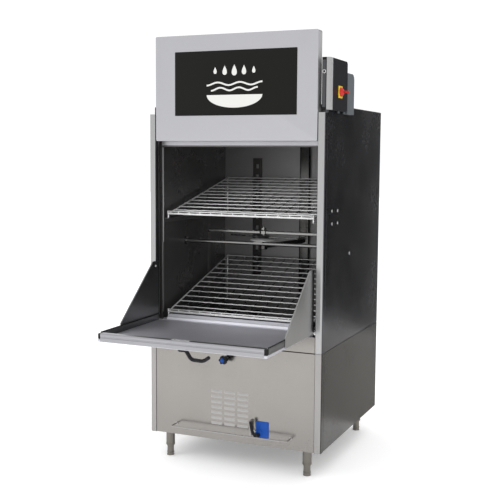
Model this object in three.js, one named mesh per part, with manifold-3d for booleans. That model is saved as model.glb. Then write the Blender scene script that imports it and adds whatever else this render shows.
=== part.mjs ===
// A front-loading utensil washer with a split door, in millimetres, +Z up.
// Design frame: X to the right, Y to the back with the posts' front face at Y = 0, Z up from the floor.
// The upper door slides up between the posts; the lower door folds down into a loading shelf.
import * as THREE from "three";
import { mergeVertices } from "three/addons/utils/BufferGeometryUtils.js";
import Module from "manifold-3d";

const wasm = await Module();
wasm.setup();

// ---- driving dimensions ----
const GAP = 0.4; // clearance between pieces that touch
const SHEET = 2; // thickness of the steel sheets
const HALF_WIDTH = 475;
const DEPTH = 985;
const BASE_BOTTOM = 135;
const SEAM = 635; // height of the joint between base and hood
const POST_TOP = 1800;
const ROOF_TOP = 1840;

const POST = { inner: 441.5, depth: 40, radius: 12 };
const OPENING_TOP = 1636;
const CEILING = 1730; // top of the space that the opening's header closes
const CHAMBER = { half: 434, front: 60, back: 838, floor: 640 };

const UPPER_DOOR = { half: 437, bottom: 1664, top: 2188, depth: 55, radius: 8 };
const PIVOT = { y: 8, z: 735 }; // axis of the lower door's hinge
const SHELF = { half: 427, front: -579, under: 727, top: 768 };
const GUSSET = { inner: 427.4, thick: 3, tip: -372, back: 5, top: 1048 };

const RACK = { half: 405, wire: 6, run: 748, front: 60 };
const UPPER_RACK = { z: 1288, rise: 174, rail: 1265 };
const LOWER_RACK = { z: 772, rise: 225, rail: 745 };
const WIRES_ALONG = 8;
const WIRES_ACROSS = 5;

const ARM_AXIS = { x: 0, y: 400 };
const SPINDLE = 8;
const WASH_ARM = { reach: 328, width: 30, height: 16 };
const RINSE_ARM = { reach: 220, width: 12, height: 8, turn: 12 };

const LEG = { x: 387, front: 58, back: 900, sleeve: 24, foot: 20, sleeveBottom: 58 };

const BOX = { inner: 456, outer: 498, front: 2, back: 270, bottom: 1812, top: 2057 };
const SWITCH = { y: 150, z: 1902 };
const DRAIN = { x: 146, z: 194 };
const KNOB = { x: -31, z: 568 };
const HANDLE = { x: -20, y: -500 };
const BUTTON = { x: 467, z: 1990 };
const COUNTERWEIGHT = { half: 300, front: 856, back: 880, bottom: 760, top: 910 };
const PLACARD = { left: -325, right: 332, bottom: 1790, top: 2107, proud: 2.2 };
const CABLE_GLAND = { x: 330, z: 230, radius: 14, length: 22 };
const WATER_INLET = { x: 380, z: 300, radius: 10, length: 25 };
const WASTE_SPIGOT = { x: -300, z: 200, radius: 25, length: 25 };

// ---- solids ----
function toSolid(geometry) {
  const bare = geometry.clone();
  bare.deleteAttribute("normal");
  bare.deleteAttribute("uv");
  const merged = mergeVertices(bare, 1e-4);
  return new wasm.Manifold(
    new wasm.Mesh({
      numProp: 3,
      vertProperties: new Float32Array(merged.attributes.position.array),
      triVerts: new Uint32Array(merged.index.array),
    }),
  );
}

function toGeometry(solid) {
  const mesh = solid.getMesh();
  const geometry = new THREE.BufferGeometry();
  geometry.setAttribute("position", new THREE.BufferAttribute(mesh.vertProperties, 3));
  geometry.setIndex(new THREE.BufferAttribute(mesh.triVerts, 1));
  geometry.computeVertexNormals();
  return geometry;
}

function join(...geometries) {
  const solids = geometries.map(toSolid);
  return toGeometry(solids.reduce((sum, next) => sum.add(next)));
}

function cut(geometry, ...tools) {
  const solids = tools.map(toSolid);
  return toGeometry(solids.reduce((rest, tool) => rest.subtract(tool), toSolid(geometry)));
}

function block(x0, x1, y0, y1, z0, z1) {
  const geometry = new THREE.BoxGeometry(x1 - x0, y1 - y0, z1 - z0);
  return geometry.translate((x0 + x1) / 2, (y0 + y1) / 2, (z0 + z1) / 2);
}

// A round rod between two points.
function rod(radius, from, to, sides = 12) {
  const a = new THREE.Vector3(...from);
  const b = new THREE.Vector3(...to);
  const along = b.clone().sub(a);
  const geometry = new THREE.CylinderGeometry(radius, radius, along.length(), sides);
  const turn = new THREE.Quaternion().setFromUnitVectors(
    new THREE.Vector3(0, 1, 0),
    along.clone().normalize(),
  );
  const middle = a.add(b).multiplyScalar(0.5);
  return geometry.applyQuaternion(turn).translate(middle.x, middle.y, middle.z);
}

function ball(radius, x, y, z) {
  return new THREE.SphereGeometry(radius, 8, 5).translate(x, y, z);
}

function polygon(points) {
  return new THREE.Shape(points.map(([x, y]) => new THREE.Vector2(x, y)));
}

// A side outline drawn in (Y, Z), carried along X from x0 to x1.
function alongX(shape, x0, x1, curveSegments = 8) {
  const geometry = new THREE.ExtrudeGeometry(shape, {
    depth: x1 - x0,
    bevelEnabled: false,
    curveSegments,
  });
  const axes = new THREE.Matrix4().makeBasis(
    new THREE.Vector3(0, 1, 0),
    new THREE.Vector3(0, 0, 1),
    new THREE.Vector3(1, 0, 0),
  );
  return geometry.applyMatrix4(axes).translate(x0, 0, 0);
}

// A plan outline drawn in (X, Y), carried up from z0 to z1.
function alongZ(shape, z0, z1, curveSegments = 8) {
  const options = { depth: z1 - z0, bevelEnabled: false, curveSegments };
  return new THREE.ExtrudeGeometry(shape, options).translate(0, 0, z0);
}

// A front outline drawn in (X, Z), carried back from y0 to y1.
function alongY(shape, y0, y1, curveSegments = 8) {
  const options = { depth: y1 - y0, bevelEnabled: false, curveSegments };
  const geometry = new THREE.ExtrudeGeometry(shape, options);
  return geometry.rotateX(Math.PI / 2).translate(0, y1, 0);
}

// A bar with a round section of so many sides that follows a smooth curve through the points.
function bentBar(radius, points, steps = 16, sides = 10) {
  const curve = new THREE.CatmullRomCurve3(points.map((point) => new THREE.Vector3(...point)));
  const section = new THREE.Shape();
  section.absarc(0, 0, radius, 0, 2 * Math.PI);
  return new THREE.ExtrudeGeometry(section, {
    steps,
    extrudePath: curve,
    curveSegments: sides / 2,
  });
}

// A body of revolution about a vertical line, from (radius, height) pairs that start and end on it.
function turned(profile, x, y, sides = 24) {
  const points = profile.map(([radius, height]) => new THREE.Vector2(radius, height));
  return new THREE.LatheGeometry(points, sides).rotateX(Math.PI / 2).translate(x, y, 0);
}

// The mirror image in X, with each triangle turned round again so that it faces out.
function mirrored(geometry) {
  const flipped = mergeVertices(geometry.clone().scale(-1, 1, 1));
  const corners = flipped.index.array;
  for (let i = 0; i < corners.length; i += 3) {
    const second = corners[i + 1];
    corners[i + 1] = corners[i + 2];
    corners[i + 2] = second;
  }
  return flipped;
}

// ---- materials ----
function finish(color, roughness, metalness) {
  return new THREE.MeshStandardMaterial({ color, roughness, metalness });
}
const brushedSteel = finish(0xb9b8bb, 0.35, 0.9);
const darkSteel = finish(0x6a665f, 0.4, 0.9);
const chamberSteel = finish(0x55524e, 0.3, 0.9);
const shelfSteel = finish(0x9b9ba3, 0.38, 0.8);
const wireSteel = finish(0xcfcfcf, 0.25, 1);
const blackPlastic = finish(0x141416, 0.5, 0);
const blackPanel = finish(0x202022, 0.35, 0);
const greyPlastic = finish(0x6c7076, 0.55, 0);
const yellowPlastic = finish(0xe2c22a, 0.45, 0);
const redPlastic = finish(0xc22018, 0.4, 0);
const bluePlastic = finish(0x1440a0, 0.45, 0);
const greenPlastic = finish(0x2f8a4a, 0.4, 0);
const castIron = finish(0x50565c, 0.7, 0.5);

const machine = new THREE.Group();

function add(name, geometry, material, parent = machine) {
  const mesh = new THREE.Mesh(geometry, material);
  mesh.name = name;
  parent.add(mesh);
  return mesh;
}

// Adds the right-hand piece as drawn and its mirror image as the left-hand one.
function addPair(name, rightGeometry, material) {
  add("right_" + name, rightGeometry, material);
  add("left_" + name, mirrored(rightGeometry), material);
}

// ---- base ----
const FRAME_TUBE = 30;

function frameRing(z0, z1, frontDepth) {
  const out = HALF_WIDTH - SHEET - 1;
  const inn = out - FRAME_TUBE;
  const front = 43;
  const back = 915;
  return join(
    block(-out, out, front, front + frontDepth, z0, z1),
    block(-out, out, back - FRAME_TUBE, back, z0, z1),
    block(-out, -inn, front, back, z0, z1),
    block(inn, out, front, back, z0, z1),
  );
}

function legSleeve(x, y) {
  const tube = rod(LEG.sleeve, [x, y, LEG.sleeveBottom], [x, y, BASE_BOTTOM + 8], 16);
  const bore = rod(LEG.foot + 1, [x, y, LEG.sleeveBottom - 5], [x, y, BASE_BOTTOM - 6], 16);
  return cut(tube, bore);
}

function baseFrame() {
  const out = HALF_WIDTH - SHEET - 1;
  const inn = out - FRAME_TUBE;
  const pieces = [
    frameRing(BASE_BOTTOM + 2, BASE_BOTTOM + 2 + FRAME_TUBE, FRAME_TUBE),
    frameRing(SEAM - 35, SEAM - 5, 16),
  ];
  for (const side of [-1, 1]) {
    for (const [y0, y1] of [[43, 59], [885, 915]]) {
      const x0 = side < 0 ? -out : inn;
      pieces.push(block(x0, x0 + FRAME_TUBE, y0, y1, BASE_BOTTOM + 10, SEAM - 10));
    }
    pieces.push(legSleeve(side * LEG.x, LEG.front));
    pieces.push(legSleeve(side * LEG.x, LEG.back));
  }
  return join(...pieces);
}

function foot(x, y) {
  const r = LEG.foot;
  const profile = [
    [0, 0],
    [r - 4, 0],
    [r - 1, 4],
    [r, 10],
    [r, 104],
    [0, 104],
  ];
  return turned(profile, x, y, 16);
}

function frontPanel() {
  const half = POST.inner - 2;
  const bottom = BASE_BOTTOM + 2;
  const top = SEAM - 4;
  const plate = block(-half, half, 3, 3 + SHEET, bottom, top);
  const leftFlange = block(-half, -half + SHEET, 3, 24, bottom, top);
  const rightFlange = block(half - SHEET, half, 3, 24, bottom, top);
  const slots = [];
  for (const x of [-90, -16, 58]) {
    for (let row = 0; row < 7; row++) {
      const z = 224 + row * 27.8;
      slots.push(block(x - 29, x + 29, 0, 10, z - 6, z - 1));
    }
  }
  const shaftHoles = [
    rod(9, [DRAIN.x, 0, DRAIN.z], [DRAIN.x, 10, DRAIN.z], 16),
    rod(8, [KNOB.x, 0, KNOB.z], [KNOB.x, 10, KNOB.z], 16),
  ];
  return cut(join(plate, leftFlange, rightFlange), ...slots, ...shaftHoles);
}

function pullRail() {
  const r = 4;
  const half = 320;
  const out = -60;
  const z = 196;
  const wall = 3 - GAP;
  return join(
    rod(r, [-half, out, z], [half, out, z], 10),
    rod(r, [-half, out, z], [-half, wall, z], 10),
    rod(r, [half, out, z], [half, wall, z], 10),
    ball(r, -half, out, z),
    ball(r, half, out, z),
  );
}

function sill() {
  const half = POST.inner - 3;
  const lipHalf = 424;
  const face = block(-half, half, 3, 3 + SHEET, SEAM + 1, 716);
  const slope = alongX(
    polygon([[3, 713], [5, 713], [5, 715.5], [60, 740], [60, 705], [62, 705], [62, 742.5], [3, 717]]),
    -lipHalf,
    lipHalf,
  );
  const rampHalf = 388; // the racks' feet pass beside the ramp
  const ramp = alongX(
    polygon([
      [20, 722.5], [22.5, 722.5], [29, 748.6], [60, 761],
      [60, 741], [62, 741], [62, 763.9], [27.4, 750.2],
    ]),
    -rampHalf,
    rampHalf,
  );
  return join(face, slope, ramp);
}

// ---- drain ----
function drainValve() {
  const { x, z } = DRAIN;
  return join(
    rod(16, [x, 8, z], [x, 80, z], 16),
    rod(20, [x, 70, z], [x, 300, z], 16),
    rod(20, [x, 285, z], [x, 285, 439], 16),
  );
}

function drainPlate() {
  const plate = block(131, 201, 1.2, 3 - GAP, 178, 263);
  const strip = block(101, 112, -16, 3 - GAP, 186, 266);
  const link = block(108, 133, 1.2, 3 - GAP, 205, 215);
  const hole = rod(9, [DRAIN.x, -2, DRAIN.z], [DRAIN.x, 6, DRAIN.z], 16);
  return cut(join(plate, strip, link), hole);
}

function drainLever() {
  const { x, z } = DRAIN;
  return join(
    rod(6, [x, -26, z], [x, 7.5, z], 12),
    rod(12, [x, -34, z], [x, -6, z], 16),
    bentBar(7, [[x, -26, z], [x - 14, -30, z + 6], [x - 22, -32, z + 30], [x - 30, -34, z + 74]], 10, 8),
  );
}

function panelKnob() {
  const { x, z } = KNOB;
  return join(
    rod(6, [x, -8, z], [x, 12, z], 12),
    rod(12, [x, -20, z], [x, -2, z], 12),
    rod(16, [x, -62, z], [x, -18, z], 12),
    block(x - 5, x + 5, -56, -24, z - 22, z + 22),
  );
}

// ---- hood ----
// A folded channel that is open to the back, with a round outer front corner.
function post() {
  const { inner, depth, radius } = POST;
  const outer = HALF_WIDTH;
  const shape = new THREE.Shape();
  shape.moveTo(inner, 0);
  shape.lineTo(outer - radius, 0);
  shape.absarc(outer - radius, radius, radius, -Math.PI / 2, 0);
  shape.lineTo(outer, depth);
  shape.lineTo(outer - SHEET, depth);
  shape.lineTo(outer - SHEET, radius);
  shape.absarc(outer - radius, radius, radius - SHEET, 0, -Math.PI / 2, true);
  shape.lineTo(inner + SHEET, SHEET);
  shape.lineTo(inner + SHEET, depth);
  shape.lineTo(inner, depth);
  const channel = alongZ(shape, BASE_BOTTOM, POST_TOP - 1, 6);
  const capShape = new THREE.Shape();
  capShape.moveTo(inner, 0);
  capShape.lineTo(outer - radius, 0);
  capShape.absarc(outer - radius, radius, radius, -Math.PI / 2, 0);
  capShape.lineTo(outer, depth);
  capShape.lineTo(inner, depth);
  return join(channel, alongZ(capShape, POST_TOP - 2, POST_TOP, 6));
}

function guideStrip() {
  return block(POST.inner - 3.4, POST.inner - GAP, 8, 30, 748, POST_TOP - 2);
}

// The chamber's side wall with the jamb flange that closes the cavity beside it.
function chamberSide() {
  const { half, front, back, floor } = CHAMBER;
  const out = HALF_WIDTH - SHEET - 1;
  const shape = polygon([
    [half, front],
    [out, front],
    [out, front + SHEET],
    [half + SHEET, front + SHEET],
    [half + SHEET, back],
    [half, back],
  ]);
  return alongZ(shape, floor, ROOF_TOP - 6);
}

function chamberHood() {
  const { half, front, back } = CHAMBER;
  const header = block(-half + GAP, half - GAP, front - 2, front, OPENING_TOP, ROOF_TOP - 6);
  const ceiling = block(-half + GAP, half - GAP, front - 2, back, CEILING, CEILING + SHEET);
  const lip = block(-half + GAP, half - GAP, front - 2, front + 14, OPENING_TOP, OPENING_TOP + 12);
  return join(header, ceiling, lip);
}

// The back sheet with the cable gland, the water inlet and the waste spigot that pass through it.
function rearPanel() {
  const inside = HALF_WIDTH - SHEET - GAP;
  const sheet = block(-inside, inside, DEPTH - SHEET, DEPTH, BASE_BOTTOM + 2, ROOF_TOP - 3);
  const fittings = [CABLE_GLAND, WATER_INLET, WASTE_SPIGOT].map(({ x, z, radius, length }) =>
    rod(radius, [x, DEPTH - 1, z], [x, DEPTH + length, z], 16),
  );
  const { x, z } = CABLE_GLAND;
  const glandNut = rod(20, [x, DEPTH - 1, z], [x, DEPTH + 8, z], 6);
  return join(sheet, ...fittings, glandNut);
}

function sidePanelWithBolts() {
  const sheet = block(HALF_WIDTH - SHEET, HALF_WIDTH, 42, 982, SEAM + 1, ROOF_TOP - 3);
  const cornerNotch = block(HALF_WIDTH - 5, HALF_WIDTH + 5, 30, 58, POST_TOP + 1, ROOF_TOP + 5);
  const panel = cut(sheet, cornerNotch);
  const bolts = [
    [127, 1325],
    [217, 1323],
    [130, 1262],
    [218, 1261],
    [424, 1089],
  ];
  const x = HALF_WIDTH;
  return join(panel, ...bolts.map(([y, z]) => rod(5.5, [x - 1, y, z], [x + 3, y, z], 10)));
}

// ---- chamber ----
function washTank() {
  const outer = block(-429, 429, 78, 833, 440, 700);
  const inner = block(-427, 427, 80, 831, 442, 710);
  const { x, y } = ARM_AXIS;
  const standpipe = [
    rod(18, [x, y, 441], [x, y, 700], 16),
    rod(SPINDLE, [x, y, 698], [x, y, 734], 12),
    rod(13, [x, y, 727], [x, y, 736], 12),
  ];
  return join(cut(outer, inner), ...standpipe);
}

function tankStrainer() {
  const plate = block(-424, 424, 83, 828, 686, 688);
  const slots = [];
  for (const x of [-300, -150, 150, 300]) {
    slots.push(block(x - 45, x + 45, 130, 780, 680, 690));
  }
  const { x, y } = ARM_AXIS;
  return cut(plate, ...slots, rod(22, [x, y, 680], [x, y, 690], 16));
}

function tankHeater() {
  const z = 470;
  const r = 6;
  const rows = [180, 230, 280];
  const rods = rows.map((y) => block(-300, 300, y - r, y + r, z - r, z + r));
  const rightBend = block(300 - r, 300 + r, 180 - r, 230 + r, z - r, z + r);
  const leftBend = block(-300 - r, -300 + r, 230 - r, 280 + r, z - r, z + r);
  return join(...rods, rightBend, leftBend);
}

function rackRails() {
  const inner = 398;
  const wall = CHAMBER.half - 1;
  const y0 = 70;
  const y1 = 822;
  const upper = UPPER_RACK.rail;
  const lower = LOWER_RACK.rail;
  const pieces = [
    block(inner, wall, y0, y1, upper - SHEET, upper),
    block(wall - SHEET, wall, y0, y1, upper - 24, upper),
    block(inner, 416, y0, y1, lower - SHEET, lower),
    block(416 - SHEET, 416, y0, y1, lower - 20, lower),
    block(wall - SHEET, wall, 600, 630, lower - 20, upper),
  ];
  for (const y of [350, 600, 785]) {
    pieces.push(block(416 - SHEET, wall, y, y + 30, lower - 20, lower));
  }
  return join(...pieces);
}

function riserPipe() {
  const x = 77;
  const y = 826;
  const topZ = 1700;
  const middleZ = 1106;
  const hub = ARM_AXIS;
  return join(
    block(x - 30, x + 30, y - 11, y + 11, 722, topZ + 12),
    rod(13, [x, y, topZ], [hub.x, hub.y, topZ], 12),
    rod(16, [hub.x, hub.y, topZ - 18], [hub.x, hub.y, topZ + 14], 16),
    rod(SPINDLE, [hub.x, hub.y, topZ - 54], [hub.x, hub.y, topZ - 10], 12),
    rod(13, [hub.x, hub.y, topZ - 56], [hub.x, hub.y, topZ - 47], 12),
    rod(13, [x, y, middleZ], [hub.x, hub.y, middleZ], 12),
    rod(20, [hub.x, hub.y, middleZ - 16], [hub.x, hub.y, middleZ + 17], 16),
  );
}

function rearUpright() {
  const plate = block(196, 250, 829, 838, 888, 1577);
  const holes = [];
  for (let z = 930; z < 1560; z += 60) {
    holes.push(block(213, 233, 820, 845, z - 12, z + 12));
  }
  return cut(plate, ...holes);
}

function armCarrier() {
  const { x, y } = ARM_AXIS;
  const barY = 323;
  const barZ = 1127;
  const half = CHAMBER.half - GAP;
  return join(
    rod(10, [-half, barY, barZ], [half, barY, barZ], 12),
    rod(24, [-half, barY, barZ], [-half + 6, barY, barZ], 12),
    rod(24, [half - 6, barY, barZ], [half, barY, barZ], 12),
    block(-26, 26, barY - 6, y, 1128, 1137),
    turned([[0, 1136], [72, 1136], [72, 1144], [30, 1150], [0, 1150]], x, y, 16),
    rod(SPINDLE, [x, y, 1146], [x, y, 1212], 12),
    rod(14, [x, y, 1196], [x, y, 1206], 12),
  );
}

function bearingHub(radius, z0, z1) {
  const { x, y } = ARM_AXIS;
  return rod(radius, [x, y, z0], [x, y, z1], 16);
}

function boredForSpindle(geometry, z0, z1) {
  const { x, y } = ARM_AXIS;
  return cut(geometry, rod(SPINDLE + 0.6, [x, y, z0 - 2], [x, y, z1 + 2], 12));
}

// A two-sided spray arm with a row of nozzles, closed at both ends.
function sprayArm(z, arm, nozzleSide) {
  const { x, y } = ARM_AXIS;
  const { reach, width, height } = arm;
  const tube = block(x - reach, x + reach, y - width / 2, y + width / 2, z, z + height);
  const nozzles = [];
  for (const side of [-1, 1]) {
    for (let i = 1; i <= 3; i++) {
      const nx = x + side * (40 + (i * (reach - 60)) / 3);
      const tip = nozzleSide > 0 ? z + height : z;
      nozzles.push(rod(6, [nx, y, tip - nozzleSide * 2], [nx, y, tip + nozzleSide * 3], 6));
    }
  }
  const hub = bearingHub(width * 0.8, z - 2, z + height + 2);
  return boredForSpindle(join(tube, hub, ...nozzles), z - 4, z + height + 4);
}

function rinseArm(z) {
  const { reach, width, height, turn } = RINSE_ARM;
  const { x, y } = ARM_AXIS;
  const tube = block(-reach, reach, -width / 2, width / 2, z, z + height);
  tube.rotateZ((-turn * Math.PI) / 180).translate(x, y, 0);
  const hub = bearingHub(18, z - 2, z + height + 3);
  return boredForSpindle(join(tube, hub), z - 4, z + height + 4);
}

// A wire rack that rises to the back, on two short front feet and two tall rear legs.
function wireRack({ z, rise, rail }) {
  const { half, wire, run, front } = RACK;
  const length = Math.hypot(run, rise);
  const stepX = (2 * half - wire) / (WIRES_ALONG - 1);
  const stepY = (length - wire) / (WIRES_ACROSS - 1);
  const wires = [];
  for (let i = 0; i < WIRES_ALONG; i++) {
    const x = -half + i * stepX;
    wires.push(block(x, x + wire, 0, length, -wire / 2, wire / 2));
  }
  for (let j = 0; j < WIRES_ACROSS; j++) {
    const y = 1 + j * (stepY - 0.5);
    wires.push(block(-half + 1, half - 1, y, y + wire, -wire / 2 - 1, wire / 2 - 1));
  }
  const slope = Math.atan2(rise, run);
  const grid = join(...wires).rotateX(slope).translate(0, front, z);
  const pieces = [grid];
  for (const side of [-1, 1]) {
    const x = side * (half - 4);
    for (const y of [front + 6, front + run - 8]) {
      const top = z + ((y - front) * rise) / run;
      pieces.push(rod(4, [x, y, rail + GAP], [x, y, top], 8));
    }
  }
  pieces.push(rod(3, [-half, front + 3, z + 14], [half, front + 3, z + 14], 6));
  for (const x of [-half + 4, -half / 2, 0, half / 2, half - 4]) {
    pieces.push(rod(2.5, [x, front + 3, z - 2], [x, front + 3, z + 14], 6));
  }
  return join(...pieces);
}

// ---- doors ----
function roundedDoorFace(half, bottom, top, radius) {
  const shape = new THREE.Shape();
  shape.moveTo(-half, bottom);
  shape.lineTo(half, bottom);
  shape.lineTo(half, top - radius);
  shape.absarc(half - radius, top - radius, radius, 0, Math.PI / 2);
  shape.lineTo(-half + radius, top);
  shape.absarc(-half + radius, top - radius, radius, Math.PI / 2, Math.PI);
  return shape;
}

function upperDoorShell() {
  const { half, bottom, top, depth, radius } = UPPER_DOOR;
  const outer = alongY(roundedDoorFace(half, bottom, top, radius), 0, depth - 2.4, 4);
  const inner = alongY(
    roundedDoorFace(half - SHEET, bottom + SHEET, top - SHEET, radius - SHEET),
    SHEET,
    depth + 5,
    4,
  );
  const shell = cut(outer, inner);
  const carriages = [-1, 1].map((side) => {
    const x0 = side < 0 ? -462 : half - SHEET;
    const x1 = side < 0 ? -half + SHEET : 462;
    return block(x0, x1, 43, depth - 2.4, bottom + 11, bottom + 81);
  });
  return join(shell, ...carriages);
}

function upperDoorLiner() {
  const { half, bottom, top, depth, radius } = UPPER_DOOR;
  return alongY(roundedDoorFace(half, bottom, top, radius), depth - 2, depth, 4);
}

function doorPlacard() {
  const { left, right, bottom, top, proud } = PLACARD;
  return block(left, right, -proud, -GAP, bottom, top);
}

function lowerDoorShell() {
  const { half, front, under, top } = SHELF;
  const outer = block(-half, half, front, 0, under, top);
  const inner = block(-half + 1.6, half - 1.6, front + 1.6, -1.6, under + SHEET, top + 5);
  const rearNotch = block(-half + 9, half - 9, -5, 5, 744, top + 5);
  const hole = rod(9, [HANDLE.x, HANDLE.y, under - 5], [HANDLE.x, HANDLE.y, under + 5], 16);
  return cut(outer, inner, rearNotch, hole);
}

function lowerDoorLiner() {
  const { half, front, top } = SHELF;
  const body = block(-half + 2, half - 2, front + 2, -2, 738, top);
  const pan = block(-half + 10, half - 10, front + 32, 5, 740, top + 5);
  const latchSlot = block(-38, 38, front + 12, front + 24, 750, top + 5);
  const hook = block(20, 34, front + 14, front + 20, 745, top - 6);
  return join(cut(body, pan, latchSlot), hook);
}

function gusset() {
  const { inner, thick, tip, back, top } = GUSSET;
  const shape = polygon([
    [tip, 731],
    [-6, 731],
    [-2, 725],
    [16, 725],
    [19, 735],
    [16, 746],
    [back, 752],
    [back, top],
    [-55, top],
    [tip, 780],
  ]);
  const plate = alongX(shape, inner, inner + thick);
  const hem = alongX(
    polygon([[tip + 2, 781], [-55, top], [back, top], [back, top - 4], [-53, top - 4], [tip + 4, 777.5]]),
    inner - 4,
    inner + thick,
  );
  const bore = rod(5.4, [inner - 10, PIVOT.y, PIVOT.z], [inner + 10, PIVOT.y, PIVOT.z], 16);
  return cut(join(plate, hem), bore);
}

function hingePin() {
  const { y, z } = PIVOT;
  return join(
    rod(5, [GUSSET.inner - 5, y, z], [POST.inner - GAP, y, z], 16),
    rod(7, [GUSSET.inner - 6, y, z], [GUSSET.inner - 1, y, z], 12),
    rod(10, [POST.inner - 6, y, z], [POST.inner - GAP, y, z], 16),
  );
}

function doorHandle() {
  const { x, y } = HANDLE;
  const under = SHELF.under;
  return join(
    rod(7, [x, y, under - 20], [x, y, under + 8], 12),
    rod(24, [x, y, under - 22], [x, y, under - 1], 16),
    bentBar(
      8,
      [
        [x - 8, y, under - 14],
        [x + 14, y, under - 20],
        [x + 34, y, under - 50],
        [x + 60, y, under - 60],
        [x + 100, y, under - 60],
        [x + 122, y, under - 50],
        [x + 134, y, under - 40],
      ],
      16,
      8,
    ),
  );
}

// ---- machinery ----
function counterweight() {
  const { half, front, back, bottom, top } = COUNTERWEIGHT;
  return block(-half, half, front, back, bottom, top);
}

// Motor, coupling, impeller housing and suction pipe on one axis along X.
function washPump() {
  const z = 290;
  const y = 420;
  const motorRadius = 68;
  const housingRadius = 88;
  const pipeRadius = 28;
  const tankFloor = 439;
  return join(
    rod(motorRadius, [-330, y, z], [-110, y, z], 16),
    rod(30, [-112, y, z], [-80, y, z], 16),
    rod(housingRadius, [-82, y, z], [-30, y, z], 16),
    rod(pipeRadius, [-32, y, z], [20, y, z], 16),
    rod(pipeRadius, [10, y, z], [10, y, tankFloor], 16),
    block(-300, -140, y - 50, y + 50, 205, z - 50),
  );
}

function boiler() {
  const bottom = 190;
  const top = 420;
  const r = 105;
  const wall = 3;
  const shell = [
    [12, top - 20],
    [12, top],
    [r - 20, top - 6],
    [r, top - 26],
    [r, bottom + 26],
    [r - 20, bottom + 6],
    [0, bottom],
    [0, bottom + wall],
    [r - 20 - wall, bottom + 6 + wall],
    [r - wall, bottom + 26 + wall],
    [r - wall, top - 26 - wall],
    [12 + wall, top - 10],
    [12 + wall, top - 20],
    [12, top - 20],
  ];
  return turned(shell.reverse(), 250, 680, 16);
}

// ---- control box ----
function controlBox() {
  const { inner, outer, front, back, bottom, top } = BOX;
  const shape = new THREE.Shape();
  const r = 16;
  shape.moveTo(front + 18, bottom);
  shape.lineTo(back, bottom);
  shape.lineTo(back, top - r);
  shape.absarc(back - r, top - r, r, 0, Math.PI / 2);
  shape.lineTo(front + 18, top);
  const body = alongX(shape, HALF_WIDTH + 1, outer, 5);
  const keyStrip = block(inner, 478, front, front + 34, bottom, top);
  const innerHalf = block(inner, 478, front + 30, back - r, ROOF_TOP + 1, top - 1);
  const feet = [
    rod(5, [472, 24, bottom - 11], [472, 24, bottom + 2], 10),
    rod(5, [488, 160, bottom - 11], [488, 160, bottom + 2], 10),
  ];
  const well = rod(6.6, [BUTTON.x, front - 2, BUTTON.z], [BUTTON.x, front + 8, BUTTON.z], 12);
  const switchBore = rod(7, [outer - 14, SWITCH.y, SWITCH.z], [outer + 4, SWITCH.y, SWITCH.z], 16);
  return cut(join(body, keyStrip, innerHalf, ...feet), well, switchBore);
}

// The bright rounded strip on the box's outer front edge.
function controlCorner() {
  const { outer, front, bottom, top } = BOX;
  const inner = 478 + GAP;
  const back = front + 18 - GAP;
  const r = 14;
  const shape = new THREE.Shape();
  shape.moveTo(inner, front);
  shape.lineTo(outer - r, front);
  shape.absarc(outer - r, front + r, r, -Math.PI / 2, 0);
  shape.lineTo(outer, back);
  shape.lineTo(inner, back);
  return alongZ(shape, bottom, top, 6);
}

function startButton() {
  const { x, z } = BUTTON;
  const { front } = BOX;
  return rod(5.6, [x, front - 2.4, z], [x, front + 4.5, z], 12);
}

function switchPlate() {
  const { outer } = BOX;
  const { y, z } = SWITCH;
  const half = 29;
  const plate = block(outer + GAP, outer + 4, y - half, y + half, z - half, z + half);
  return cut(plate, rod(7, [outer - 2, y, z], [outer + 8, y, z], 16));
}

function mainSwitch() {
  const { outer } = BOX;
  const { y, z } = SWITCH;
  const x = outer + 4.5;
  const collar = new THREE.CylinderGeometry(17, 26, 22, 20);
  collar.rotateZ(-Math.PI / 2).translate(x + 11, y, z);
  return join(
    rod(6, [outer - 8, y, z], [x + 4, y, z], 12),
    collar,
    block(x + 20, x + 46, y - 6, y + 6, z - 9, z + 9),
  );
}

function cableDuct() {
  const shape = new THREE.Shape();
  const y0 = BOX.back + GAP;
  const y1 = 385;
  const bottom = 1801;
  const top = 2004;
  const r = 30;
  shape.moveTo(y0, bottom);
  shape.lineTo(y1, bottom);
  shape.lineTo(y1, top - r);
  shape.absarc(y1 - r, top - r, r, 0, Math.PI / 2);
  shape.lineTo(y0, top);
  return alongX(shape, HALF_WIDTH + 1, 499, 5);
}

// ---- assembly ----
function addBase() {
  add("base_frame", baseFrame(), darkSteel);
  const outer = HALF_WIDTH;
  addPair("base_panel", block(outer - SHEET, outer, 42, 982, BASE_BOTTOM + 2, SEAM - 1), brushedSteel);
  add("lower_front_panel", frontPanel(), brushedSteel);
  add("panel_pull_rail", pullRail(), wireSteel);
  add("front_sill", sill(), brushedSteel);
  const feet = { front_left: [-1, LEG.front], front_right: [1, LEG.front] };
  Object.assign(feet, { rear_left: [-1, LEG.back], rear_right: [1, LEG.back] });
  for (const [corner, [side, y]] of Object.entries(feet)) {
    add("foot_" + corner, foot(side * LEG.x, y), darkSteel);
  }
}

function addHood() {
  addPair("post", post(), brushedSteel);
  addPair("guide_strip", guideStrip(), blackPlastic);
  add("right_side_panel", sidePanelWithBolts(), brushedSteel);
  add("left_side_panel", mirrored(sidePanelWithBolts()), brushedSteel);
  add("rear_panel", rearPanel(), brushedSteel);
  const roof = block(-HALF_WIDTH, HALF_WIDTH, 58, DEPTH, ROOF_TOP - 2.4, ROOF_TOP);
  add("roof_panel", roof, brushedSteel);
}

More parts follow.
